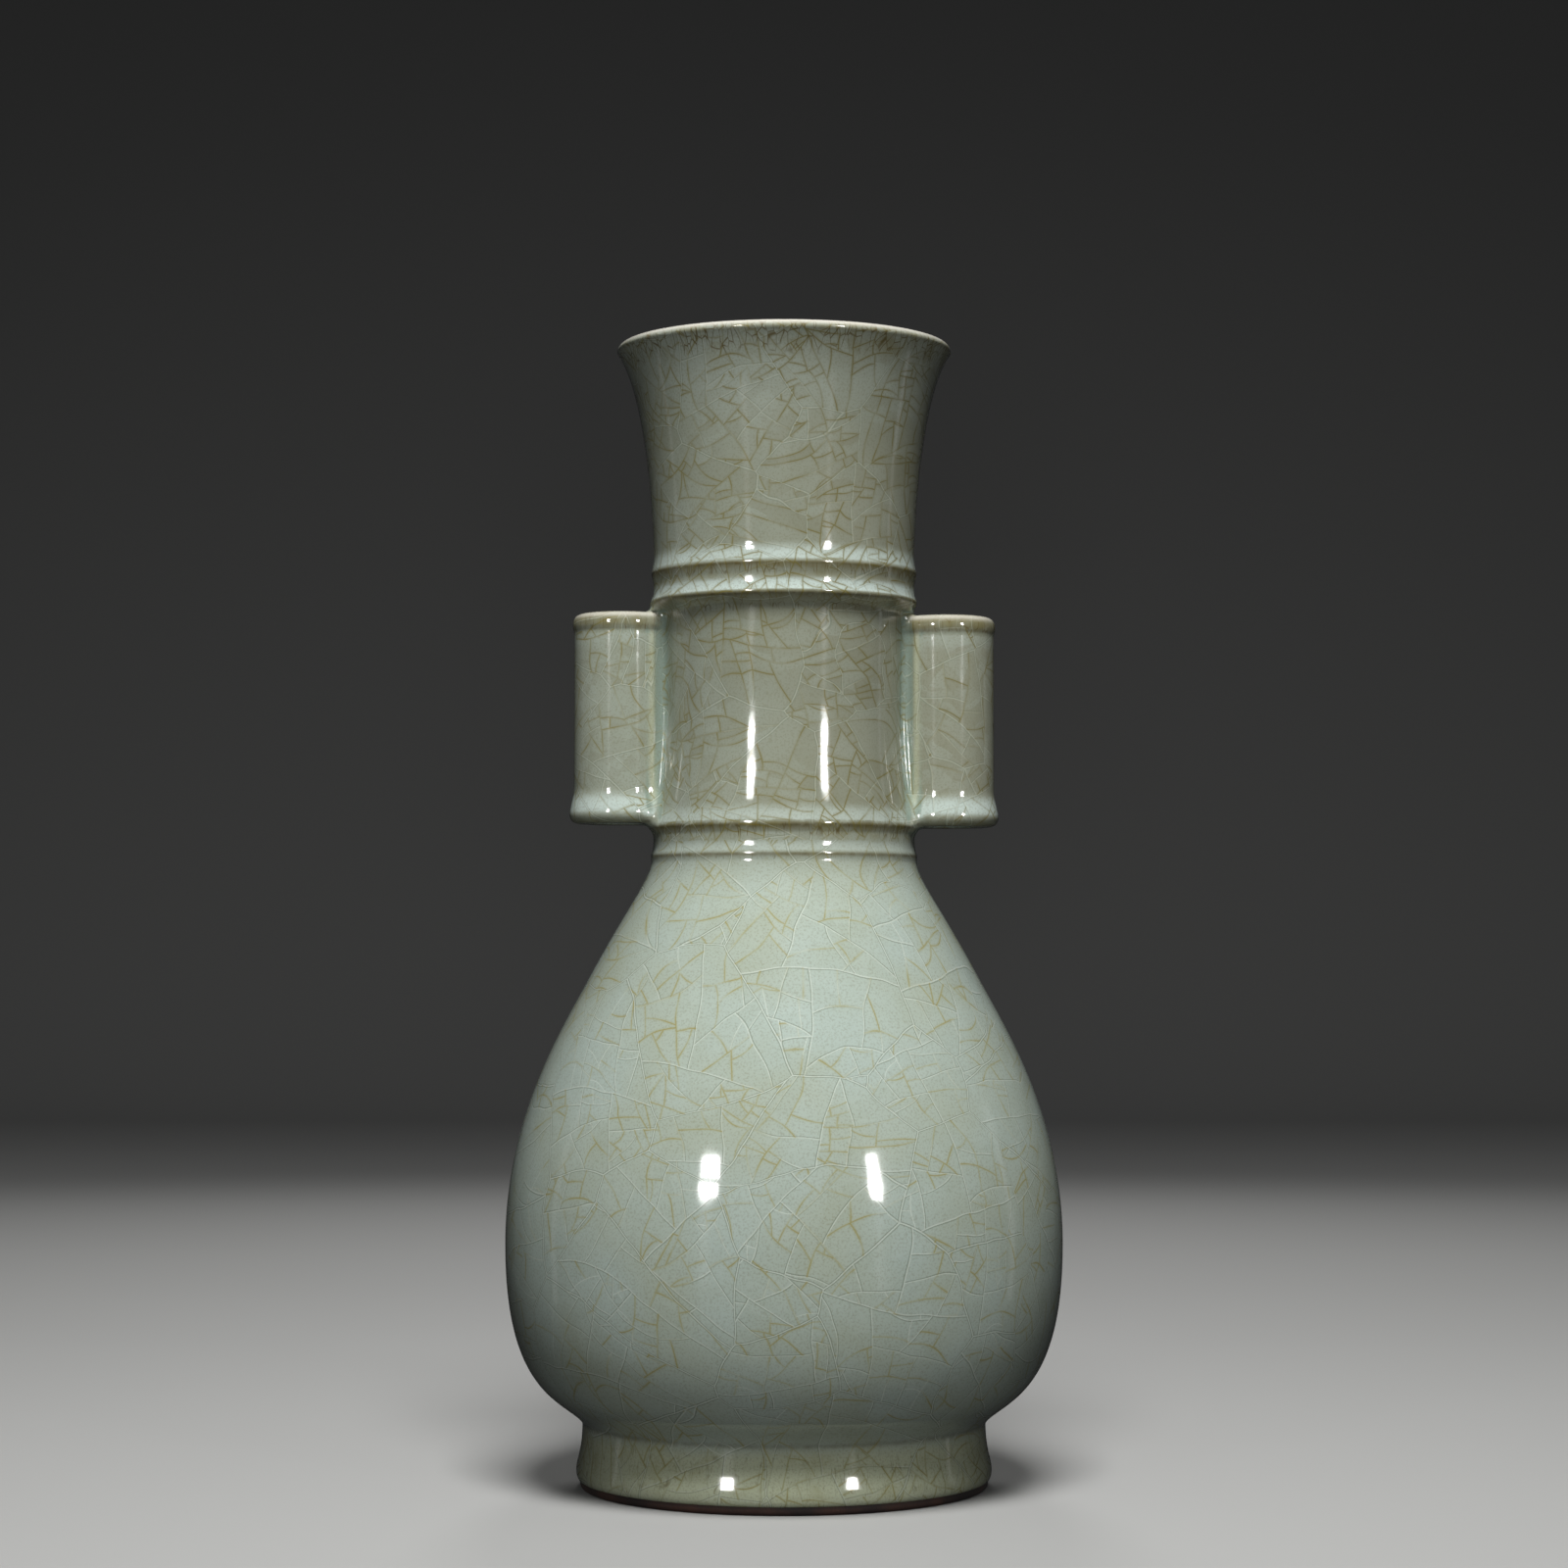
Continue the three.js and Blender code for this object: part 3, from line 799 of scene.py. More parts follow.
@dataclass(frozen=True)
class CrackledCeladon:
    """Celadon glaze over grey stoneware, dipped and fired glossy.

    Thick glaze is pale blue-green and thin glaze shows the brown clay. In cooling it has crazed:
    long pale cracks first, then short ones that end on them and took up an iron stain. A pale
    crack's core is partly its own clear line and partly a painted highlight on its raised edge, and
    its darker side is painted shade. Under the light it is glassy, with a slow wave from the
    dipping. All lengths are in mm.
    """

    handles: tuple[HandleForm, HandleForm]
    name: str = "crackled_celadon_glaze"
    body: str = "#b4c2b8"
    body_cloud: str = "#afb9a8"
    neck: str = "#979985"
    neck_cloud: str = "#8e907b"
    pooled: str = "#c8d6ce"
    # The fillets' blue-green is partly pooled glaze and partly painted shade in the crease.
    welled_glaze_and_crease_shade: str = "#8d9e92"
    # The thin tone also paints the shade under each rib's crest.
    thin: str = "#7d7859"
    # The iron tone also paints the shade in the foot's crease and under each handle's foot.
    iron: str = "#5b5236"
    upright: str = "#685a30"
    # The pale edge tone is partly thin glaze and partly a painted highlight on the lip and on the
    # handles' upper edges.
    bare: str = "#e6e2d6"
    # The warm tone is thin glaze, and on the foot it is partly painted light.
    warm_glaze_and_foot_light: str = "#cbd1b0"
    body_stain: str = "#a0964f"
    neck_stain: str = "#776c2c"
    # Pale crack tones are partly the cracks' own clear lines and partly painted highlight on their
    # raised edges; the shade tone is painted shade on their other side.
    pale_crack_and_highlight: str = "#e2e9de"
    neck_crack_and_highlight: str = "#c6cab8"
    shade: str = "#76816f"
    roughness: float = 0.085
    ior: float = 1.5
    cloud_size: float = 24.0
    blot_size: float = 7.0
    wear_size: float = 2.4
    # Real bubbles are about 0.1 mm and too fine to show, so they are drawn coarser.
    bubble_size: float = 0.5
    wave_size: float = 9.0
    wave_height: float = 0.11
    groove_size: float = 1.1
    groove_length: float = 60.0
    groove_height: float = 0.24
    stroke_gap: float = 2.0
    stroke_length: float = 20.0
    stroke_bend: float = 1.3
    first_cell: float = 35.0
    neck_cell: float = 28.0
    handle_cell: float = 24.0
    neck_from: float = 168.9
    handles_from_axis: float = 32.0
    end_play: float = 0.5
    stain_spread: float = 0.18
    stain_fade: float = 6.0
    first_width: float = 0.28
    first_shade: tuple[float, float] = (0.27, 0.12)
    bends: tuple[tuple[float, float], ...] = ((46.0, 14.0), (7.0, 1.2))
    # How strongly pale cracks, partly painted highlight, and their sides of painted shade are seen,
    # on the body and on the neck.
    pale_and_highlight_seen: tuple[float, float] = (0.42, 0.34)
    shade_seen: tuple[float, float] = (0.5, 0.3)
    neck_stained: float = 0.34
    skew: float = 0.55
    bow: float = 0.38
    turn: float = 0.8
    # Half cell, width, share, what the neck adds, what the handles take off, stained from. Real
    # cracks are about 0.1 mm wide and too fine to show, so they are drawn wider.
    levels: tuple[CrackLevel, ...] = (
        CrackLevel(0.62, 0.28, 1.0, 0.0, 0.0, 0.84),
        CrackLevel(0.62, 0.28, 1.0, 0.0, 0.0, 0.78),
        CrackLevel(0.31, 0.26, 1.0, 0.0, 0.0, 0.64),
        CrackLevel(0.31, 0.26, 1.0, 0.0, 0.1, 0.5),
        CrackLevel(0.155, 0.24, 0.96, 0.04, 0.4, 0.34),
        CrackLevel(0.155, 0.24, 0.8, 0.1, 0.5, 0.24, shaded=False),
        CrackLevel(0.078, 0.22, 0.45, 0.25, 0.5, 0.16, shaded=False),
    )

    @cached_property
    def made(self) -> bpy.types.Material:
        """The material that each step adds its nodes to."""
        return new_material(self.name)

    @cached_property
    def node(self) -> Callable[..., Any]:
        """Adds a node to the material."""
        return partial(add_node, self.made)

    @cached_property
    def place(self) -> Any:
        """Coordinates in mm."""
        metres = self.node("TexCoord", output="Object")
        return self.node("VectorMath", {0: metres, "Scale": 1 / MM}, operation="SCALE")

    @cached_property
    def marks(self) -> dict[str, Any]:
        """The outputs of the vertex numbers, by name."""
        return {name: self.node("Attribute", output="Fac", attribute_name=name)
                for name in GlazeMap.NAMES}

    @cached_property
    def patches(self) -> Any:
        """Slow noise, which clouds the glaze and gathers the stain."""
        size = 1 / self.cloud_size
        clouds = self.node("TexNoise", {"Vector": self.place, "Scale": size, "Detail": 2.0})
        return self.node("MapRange", (clouds, 0.34, 0.66, 0.0, 1.0))

    def build(self) -> bpy.types.Material:
        """Makes the material.

        Returns:
            The glaze, ready to assign.
        """
        node, marks = self.node, self.marks
        # The pale cracks are partly painted highlight, and their shaded sides are painted shade.
        pale, shaded, stained, tint = self._crackle()
        upright = self._fringe()
        blots = node("TexNoise", {"Vector": self.place, "Scale": 1 / self.blot_size, "Detail": 3.0})
        blots = node("MapRange", (blots, 0.48, 0.72, 0.0, 0.5), interpolation_type="SMOOTHSTEP")
        blots = node("Math", (blots, marks["fringe"]), operation="MULTIPLY")
        stained = node("Math", (stained, blots), operation="MAXIMUM")
        crack, stain = (
            node("Mix", {0: marks["neck_tone"], 6: linear(on_body), 7: linear(on_neck)}, 2,
                 data_type="RGBA")
            for on_body, on_neck in ((self.pale_crack_and_highlight, self.neck_crack_and_highlight),
                                     (self.body_stain, self.neck_stain)))
        colour = self._glaze_colour(tint)
        # The pale edge coat is partly thin glaze and partly a painted highlight.
        coats = ((shaded, linear(self.shade)), (pale, crack), (stained, stain),
                 (upright, linear(self.upright)), (marks["pale_edge_and_highlight"], linear(self.bare)))
        for share, tone in coats:
            colour = node("Mix", {0: share, 6: colour, 7: tone}, 2, data_type="RGBA")
        shader = node("BsdfPrincipled", {"Base Color": colour, "Normal": self._relief(),
                                         "Roughness": self.roughness, "IOR": self.ior})
        node("OutputMaterial", {"Surface": shader})
        return self.made

    def _relief(self) -> Any:
        """Gives the glaze's slow wave, and the grooves that a tool left under it.

        Returns:
            The normal's output.
        """
        node, place = self.node, self.place
        wave = node("TexNoise", {"Vector": place, "Scale": 1 / self.wave_size, "Detail": 1.0})
        size = (1 / self.groove_size, 1 / self.groove_size, 1 / self.groove_length)
        grooved = node("VectorMath", (place, size), operation="MULTIPLY")
        grooves = node("TexNoise", {"Vector": grooved, "Scale": 1.0, "Detail": 0.0})
        height = node("Math", (self.marks["tooled"], self.groove_height), operation="MULTIPLY")
        grooves = node("Math", (grooves, height), operation="MULTIPLY")
        relief = node("Math", (wave, self.wave_height, grooves), operation="MULTIPLY_ADD")
        return node("Bump", {"Height": relief, "Strength": 1.0, "Distance": MM})

    def _glaze_colour(self, tint: Any) -> Any:
        """Gives the glaze's own colour by its depth, with its clouding, cells and bubbles.

        Args:
            tint: One random number for each cell of the crackle.

        Returns:
            The colour's output.
        """
        node, place, marks = self.node, self.place, self.marks
        body, neck = (
            node("Mix", {0: self.patches, 6: linear(clear), 7: linear(cloud)}, 2, data_type="RGBA")
            for clear, cloud in ((self.body, self.body_cloud), (self.neck, self.neck_cloud)))
        colour = node("Mix", {0: marks["neck_tone"], 6: body, 7: neck}, 2, data_type="RGBA")
        light_cell = node("MapRange", (tint, 0.0, 1.0, 0.0, 0.16))
        thick = node("MapRange", (marks["glaze_depth_and_rib_shade"], 0.05, 0.9, 0.0, 1.0),
                     interpolation_type="SMOOTHSTEP")
        bubbles = node("TexNoise", {"Vector": place, "Scale": 1 / self.bubble_size, "Detail": 1.0})
        speck = node("MapRange", (bubbles, 0.45, 0.75, 0.0, 0.3), interpolation_type="SMOOTHSTEP")
        broken = node("TexNoise", {"Vector": place, "Scale": 1 / self.wear_size, "Detail": 3.0})
        cover = node("MapRange", (broken, 0.3, 0.7, 0.5, 1.0))
        # Thin glaze darkens towards the thin tone, which also paints the shadow under each rib's
        # crest.
        thin_and_rib_shade = node("MapRange", (marks["glaze_depth_and_rib_shade"], -0.06, -0.85, 0.0, 0.9),
                       interpolation_type="SMOOTHSTEP")
        worn_and_rib_shade = node("Math", (thin_and_rib_shade, cover), operation="MULTIPLY")
        # The iron tone's lines include painted shade in the foot's crease and under the handles'
        # feet.
        line = node("Math", (marks["iron_and_shade_line"], cover), operation="MULTIPLY")
        coats = ((light_cell, self.pooled), (thick, self.pooled), (marks["hollow"], self.welled_glaze_and_crease_shade),
                 (marks["warm_glaze_and_foot_light"], self.warm_glaze_and_foot_light), (speck, self.thin), (worn_and_rib_shade, self.thin),
                 (line, self.iron))
        for share, tone in coats:
            colour = node("Mix", {0: share, 6: colour, 7: linear(tone)}, 2, data_type="RGBA")
        return colour

    def _axis(self) -> tuple[Any, Any]:
        """Finds the upright axis that the glaze lies round: the vase's own, or a handle's.

        Returns:
            The axis as a point at height 0, and 1 on the handles or 0 elsewhere.
        """
        node = self.node
        across = node("SeparateXYZ", (self.place,), "X")
        height = across.node.outputs["Z"]
        lowest = min(handle.bottom for handle in self.handles) - self.end_play
        highest = max(handle.top for handle in self.handles) + self.end_play
        beyond = node("Math", (node("Math", (across,), operation="ABSOLUTE"),
                               self.handles_from_axis), operation="GREATER_THAN")
        over = node("Math", (height, lowest), operation="GREATER_THAN")
        under = node("Math", (height, highest), operation="LESS_THAN")
        between = node("Math", (over, under), operation="MULTIPLY")
        on_handle = node("Math", (beyond, between), operation="MULTIPLY")
        side = node("Math", (node("Math", (across,), operation="SIGN"), on_handle),
                    operation="MULTIPLY")
        offset = node("Math", (side, self.handles[0].axis_offset), operation="MULTIPLY")
        return node("CombineXYZ", (offset,)), on_handle

    def _crackle(self) -> tuple[Any, Any, Any, Any]:
        """Draws the crackle as cells split again and again, each crack ending on an older one.

        The cells are cut in the glaze's own plane, along its girth and its height.

        Returns:
            The pale cracks, their shaded sides, the stained cracks and each cell's random number.
        """
        node, place, marks = self.node, self.place, self.marks
        axis, on_handle = self._axis()
        on_neck = node("Math", (node("SeparateXYZ", (place,), "Z"), self.neck_from),
                       operation="GREATER_THAN")
        size = node("Math", (on_neck, self.neck_cell - self.first_cell, self.first_cell),
                    operation="MULTIPLY_ADD")
        size = node("Math", (on_handle, self.handle_cell - self.neck_cell, size),
                    operation="MULTIPLY_ADD")
        bent = place
        for length, reach in self.bends:
            bent = self._bent(bent, length, reach)
        scale = {"Vector": bent, "Scale": node("Math", (1.0, size), operation="DIVIDE")}
        cell = node("TexVoronoi", scale, "Position", feature="F1")
        colour = cell.node.outputs["Color"]
        next_cell = node("TexVoronoi", scale, "Position", feature="F2")
        normal = node("NewGeometry", output="Normal")
        inside = node("VectorMath", (bent, cell), operation="SUBTRACT")
        apart = node("VectorMath", (next_cell, cell), operation="SUBTRACT")
        gap = self._wall_gap(inside, apart, normal)
        # The first walls' pale core is partly a painted highlight, and their shaded side is painted
        # shade.
        pale = node("Math", (gap, self.first_width / 2), operation="LESS_THAN")
        shaded = node("Math", (gap, *self.first_shade), operation="COMPARE")
        spot = self._on_glaze((cell, bent, place), axis, inside)
        spot = node("VectorMath", {0: spot, "Scale": node("Math", (1.0, size), operation="DIVIDE")},
                    operation="SCALE")
        rise = node("SeparateXYZ", (normal,), "Z")
        turned: Any = node("Math", (node("SeparateColor", (colour,), "Red"), 1.1, -0.55),
                           operation="MULTIPLY_ADD")
        spot = node("VectorRotate", {"Vector": spot, "Angle": turned}, rotation_type="Z_AXIS")
        bias = node("Math", (marks["neck_tone"], self.neck_stained), operation="MULTIPLY")
        bias = node("Math", (self.patches, 0.5, bias), operation="MULTIPLY_ADD")
        stained: Any = 0.0
        code: Any = 1.0
        alive: Any = 1.0
        for level in self.levels:
            # Each crack's place, bow and turn come from its own cell's random numbers.
            chance = node("TexWhiteNoise", {"Vector": colour, "W": code}, "Color",
                          noise_dimensions="4D")
            luck = chance.node.outputs["Value"]
            first = node("SeparateColor", (chance,), "Red")
            second, third = first.node.outputs["Green"], first.node.outputs["Blue"]
            quarter = node("Math", (second, self.turn, (math.pi - self.turn) / 2),
                           operation="MULTIPLY_ADD")
            turned = node("Math", (turned, quarter), operation="ADD")
            spot = node("VectorRotate", {"Vector": spot, "Angle": quarter}, rotation_type="Z_AXIS")
            reach = node("SeparateXYZ", (spot,), "X")
            slide = reach.node.outputs["Y"]
            stretch = self.skew * level.half_cell
            offset = node("Math", (first, stretch, -stretch / 2), operation="MULTIPLY_ADD")
            curve = self.bow / level.half_cell
            bow = node("Math", (luck, curve, -curve / 2), operation="MULTIPLY_ADD")
            arc = node("Math", (node("Math", (slide, slide), operation="MULTIPLY"), bow, offset),
                       operation="MULTIPLY_ADD")
            depth = node("Math", (reach, arc), operation="SUBTRACT")
            side = node("Math", (depth,), operation="SIGN")
            # Where the glaze slopes, a level crack's width on it is longer than its rise.
            steep = node("Math", (node("Math", (turned,), operation="SINE"), rise),
                         operation="MULTIPLY")
            lean = node("Math", (steep, node("Math", (steep, -1.0), operation="MULTIPLY"), 1.0),
                        operation="MULTIPLY_ADD")
            lean = node("Math", (node("Math", (lean, 0.01), operation="MAXIMUM"),),
                        operation="SQRT")
            depth = node("Math", (depth, node("Math", (size, lean), operation="DIVIDE")),
                         operation="MULTIPLY")
            share = node("Math", (marks["neck_tone"], level.neck_more, level.share),
                         operation="MULTIPLY_ADD")
            share = node("Math", (on_handle, -level.handle_less, share), operation="MULTIPLY_ADD")
            split = node("Math", (third, share), operation="LESS_THAN")
            alive = node("Math", (alive, split), operation="MULTIPLY")
            score = node("Math", (luck, 0.5, bias), operation="MULTIPLY_ADD")
            iron = node("MapRange",
                        (score, level.stain_from - 0.06, level.stain_from + 0.3, 0.0, 1.0),
                        interpolation_type="SMOOTHSTEP")
            iron = node("Math", (iron, alive), operation="MULTIPLY")
            clear = node("Math", (alive, iron), operation="SUBTRACT")
            # An unstained crack's pale core is partly a painted highlight on its raised edge, and
            # its flank is painted shade.
            core = node("Math", (depth, 0.0, level.width / 2), operation="COMPARE")
            core = node("Math", (core, clear), operation="MULTIPLY")
            pale = node("Math", (pale, core), operation="MAXIMUM")
            if level.shaded:
                flank = node("Math", (depth, level.width, level.width / 2), operation="COMPARE")
                flank = node("Math", (flank, clear), operation="MULTIPLY")
                shaded = node("Math", (shaded, flank), operation="MAXIMUM")
            gap = node("Math", (depth,), operation="ABSOLUTE")
            gap = node("Math", (gap, -1 / self.stain_spread), operation="MULTIPLY")
            spread = node("Math", (gap,), operation="EXPONENT")
            spread = node("Math", (spread, iron), operation="MULTIPLY")
            stained = node("Math", (stained, spread), operation="MAXIMUM")
            # On to the half of the cell that this spot lies in.
            middle = node("Math", (side, level.half_cell, offset), operation="MULTIPLY_ADD")
            shift = node("Math", (middle, 0.5), operation="MULTIPLY")
            spot = node("VectorMath", (spot, node("CombineXYZ", (shift,))), operation="SUBTRACT")
            code = node("Math", (code, 2.0, node("Math", (side, 0.0), operation="GREATER_THAN")),
                        operation="MULTIPLY_ADD")
        tint = node("TexWhiteNoise", {"Vector": colour, "W": code}, "Value", noise_dimensions="4D")
        fade = node("TexNoise", {"Vector": place, "Scale": 1 / self.stain_fade, "Detail": 1.0})
        seen = [node("MapRange", (marks["neck_tone"], 0.0, 1.0, on_body, on_neck))
                for on_body, on_neck in (self.pale_and_highlight_seen, self.shade_seen)]
        seen.append(node("MapRange", (fade, 0.36, 0.6, 0.5, 1.0)))
        pale, shaded, stained = (
            node("Math", (drawn, strength), operation="MULTIPLY")
            for drawn, strength in zip((pale, shaded, stained), seen))
        return pale, shaded, stained, tint

    def _on_glaze(self, points: tuple[Any, Any, Any], axis: Any, inside: Any) -> Any:
        """Lays a spot out flat on the glaze, as seen from its cell's seed.

        Args:
            points: The cell's seed, the bent coordinates and the true ones, in mm.
            axis: The upright axis that the glaze lies round, as a point at height 0.
            inside: The way from the cell's seed.

        Returns:
            How far the spot lies along the girth and up, in mm.
        """
        node = self.node
        ways = []
        for point in points:
            from_axis = node("VectorMath", (point, axis), operation="SUBTRACT")
            ways.append(node("VectorMath", (from_axis, (1.0, 1.0, 0.0)), operation="MULTIPLY"))
        crossed = node("VectorMath", ways[:2], operation="CROSS_PRODUCT")
        turn_sine = node("SeparateXYZ", (crossed,), "Z")
        turn_cosine = node("VectorMath", ways[:2], "Value", operation="DOT_PRODUCT")
        round_axis = node("Math", (turn_sine, turn_cosine), operation="ARCTAN2")
        radius = node("VectorMath", (ways[2],), "Value", operation="LENGTH")
        girth = node("Math", (round_axis, radius), operation="MULTIPLY")
        return node("CombineXYZ", (girth, node("SeparateXYZ", (inside,), "Z")))

    def _wall_gap(self, inside: Any, apart: Any, normal: Any) -> Any:
        """Gives how far the glaze lies from the wall between its first cell and the next, in mm.

        Args:
            inside: The way from the cell's seed.
            apart: The way from the cell's seed to the next one.
            normal: The glaze's normal.

        Returns:
            The distance along the glaze.
        """
        node = self.node
        along = node("VectorMath", (apart,), operation="NORMALIZE")
        half_way = node("VectorMath", {0: apart, "Scale": 0.5}, operation="SCALE")
        from_wall = node("VectorMath", (half_way, inside), operation="SUBTRACT")
        depth = node("VectorMath", (from_wall, along), "Value", operation="DOT_PRODUCT")
        lean = node("VectorMath", (along, normal), operation="CROSS_PRODUCT")
        lean = node("VectorMath", (lean,), "Value", operation="LENGTH")
        return node("Math", (depth, lean), operation="DIVIDE")

    def _bent(self, place: Any, size: float, reach: float) -> Any:
        """Bends coordinates in mm by noise, so that cracks curve as real ones do.

        Args:
            place: Coordinates in mm.
            size: The length of the bends.
            reach: How far the bends may move a crack.

        Returns:
            The bent coordinates.
        """
        node = self.node
        noise = node("TexNoise", {"Vector": place, "Scale": 1 / size, "Detail": 0.0}, "Color")
        centred = node("VectorMath", (noise, (0.5, 0.5, 0.5)), operation="SUBTRACT")
        return node("VectorMath", (centred, (reach, reach, reach), place), operation="MULTIPLY_ADD")

    def _fringe(self) -> Any:
        """Gives the short upright cracks that crowd where the glaze is thin.

        Returns:
            The cracks' strength.
        """
        node = self.node
        size = (1 / self.stroke_gap, 1 / self.stroke_gap, 1 / self.stroke_length)
        bent = self._bent(self.place, 5.0, self.stroke_bend)
        tall = node("VectorMath", (bent, size), operation="MULTIPLY")
        edge = node("TexVoronoi", {"Vector": tall, "Scale": 1.0}, "Distance",
                    feature="DISTANCE_TO_EDGE")
        line = node("MapRange", (edge, 0.01, 0.055, 1.0, 0.0), interpolation_type="SMOOTHSTEP")
        strength = node("TexNoise", {"Vector": self.place, "Scale": 1 / 2.2, "Detail": 1.0})
        centred = node("Math", (strength, 0.5), operation="SUBTRACT")
        local = node("Math", (self.marks["fringe"], centred), operation="ADD")
        shown = node("MapRange", (local, 0.4, 1.0, 0.0, 0.85), interpolation_type="SMOOTHSTEP")
        return node("Math", (line, shown), operation="MULTIPLY")


@dataclass(frozen=True)
class BareStoneware:
    """Iron-rich stoneware where the foot was wiped clean of glaze: matt, dark brown and gritty."""

    name: str = "bare_stoneware"
    dark: str = "#20130e"
    warm: str = "#47291c"
    patch_size: float = 11.0
    grit_size: float = 0.7
    grit_height: float = 0.2
    roughness: float = 0.78

    def build(self) -> bpy.types.Material:
        """Makes the material.

        Returns:
            The stoneware, ready to assign.
        """
        made = new_material(self.name)
        node = partial(add_node, made)
        place = node("VectorMath", {0: node("TexCoord", output="Object"), "Scale": 1 / MM},
                     operation="SCALE")
        patches = node("TexNoise", {"Vector": place, "Scale": 1 / self.patch_size, "Detail": 4.0})
        grit = node("TexNoise", {"Vector": place, "Scale": 1 / self.grit_size, "Detail": 2.0})
        share = node("MapRange", (patches, 0.35, 0.68, 0.0, 1.0), interpolation_type="SMOOTHSTEP")
        colour = node("Mix", {0: share, 6: linear(self.dark), 7: linear(self.warm)}, 2,
                      data_type="RGBA")
        bump = node("Bump", {"Height": grit, "Strength": 0.5, "Distance": self.grit_height * MM})
        shader = node("BsdfPrincipled", {
            "Base Color": colour, "Normal": bump, "Roughness": self.roughness})
        node("OutputMaterial", {"Surface": shader})
        return made


@dataclass(frozen=True)
class StudioPaper:
    """Matt pale backdrop paper."""

    name: str = "studio_paper"
    tone: str = "#bcbcba"
    roughness: float = 0.85

    def build(self) -> bpy.types.Material:
        """Makes the material.

        Returns:
            The paper, ready to assign.
        """
        made = new_material(self.name)
        shader = add_node(made, "BsdfPrincipled", {
            "Base Color": linear(self.tone), "Roughness": self.roughness})
        add_node(made, "OutputMaterial", {"Surface": shader})
        return made


def finish_piece(piece: bpy.types.Object, slot: Slot, material: bpy.types.Material,
                 nodes: Sequence[str]) -> bpy.types.Object:
    """Gives a piece its material and body, and hides the nodes that it stands for.

    Args:
        piece: The finished piece.
        slot: Not used.
        material: Its material.
        nodes: The solids that it replaces, if any.

    Returns:
        The piece.
    """
    piece.data.materials.clear()
    piece.data.materials.append(material)
    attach(piece, BODY)
    if nodes:
        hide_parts(*nodes)
    LOG.info("%s: %d faces, stands for %s", piece.name, len(piece.data.polygons),
             list(nodes) or "none")
    return piece


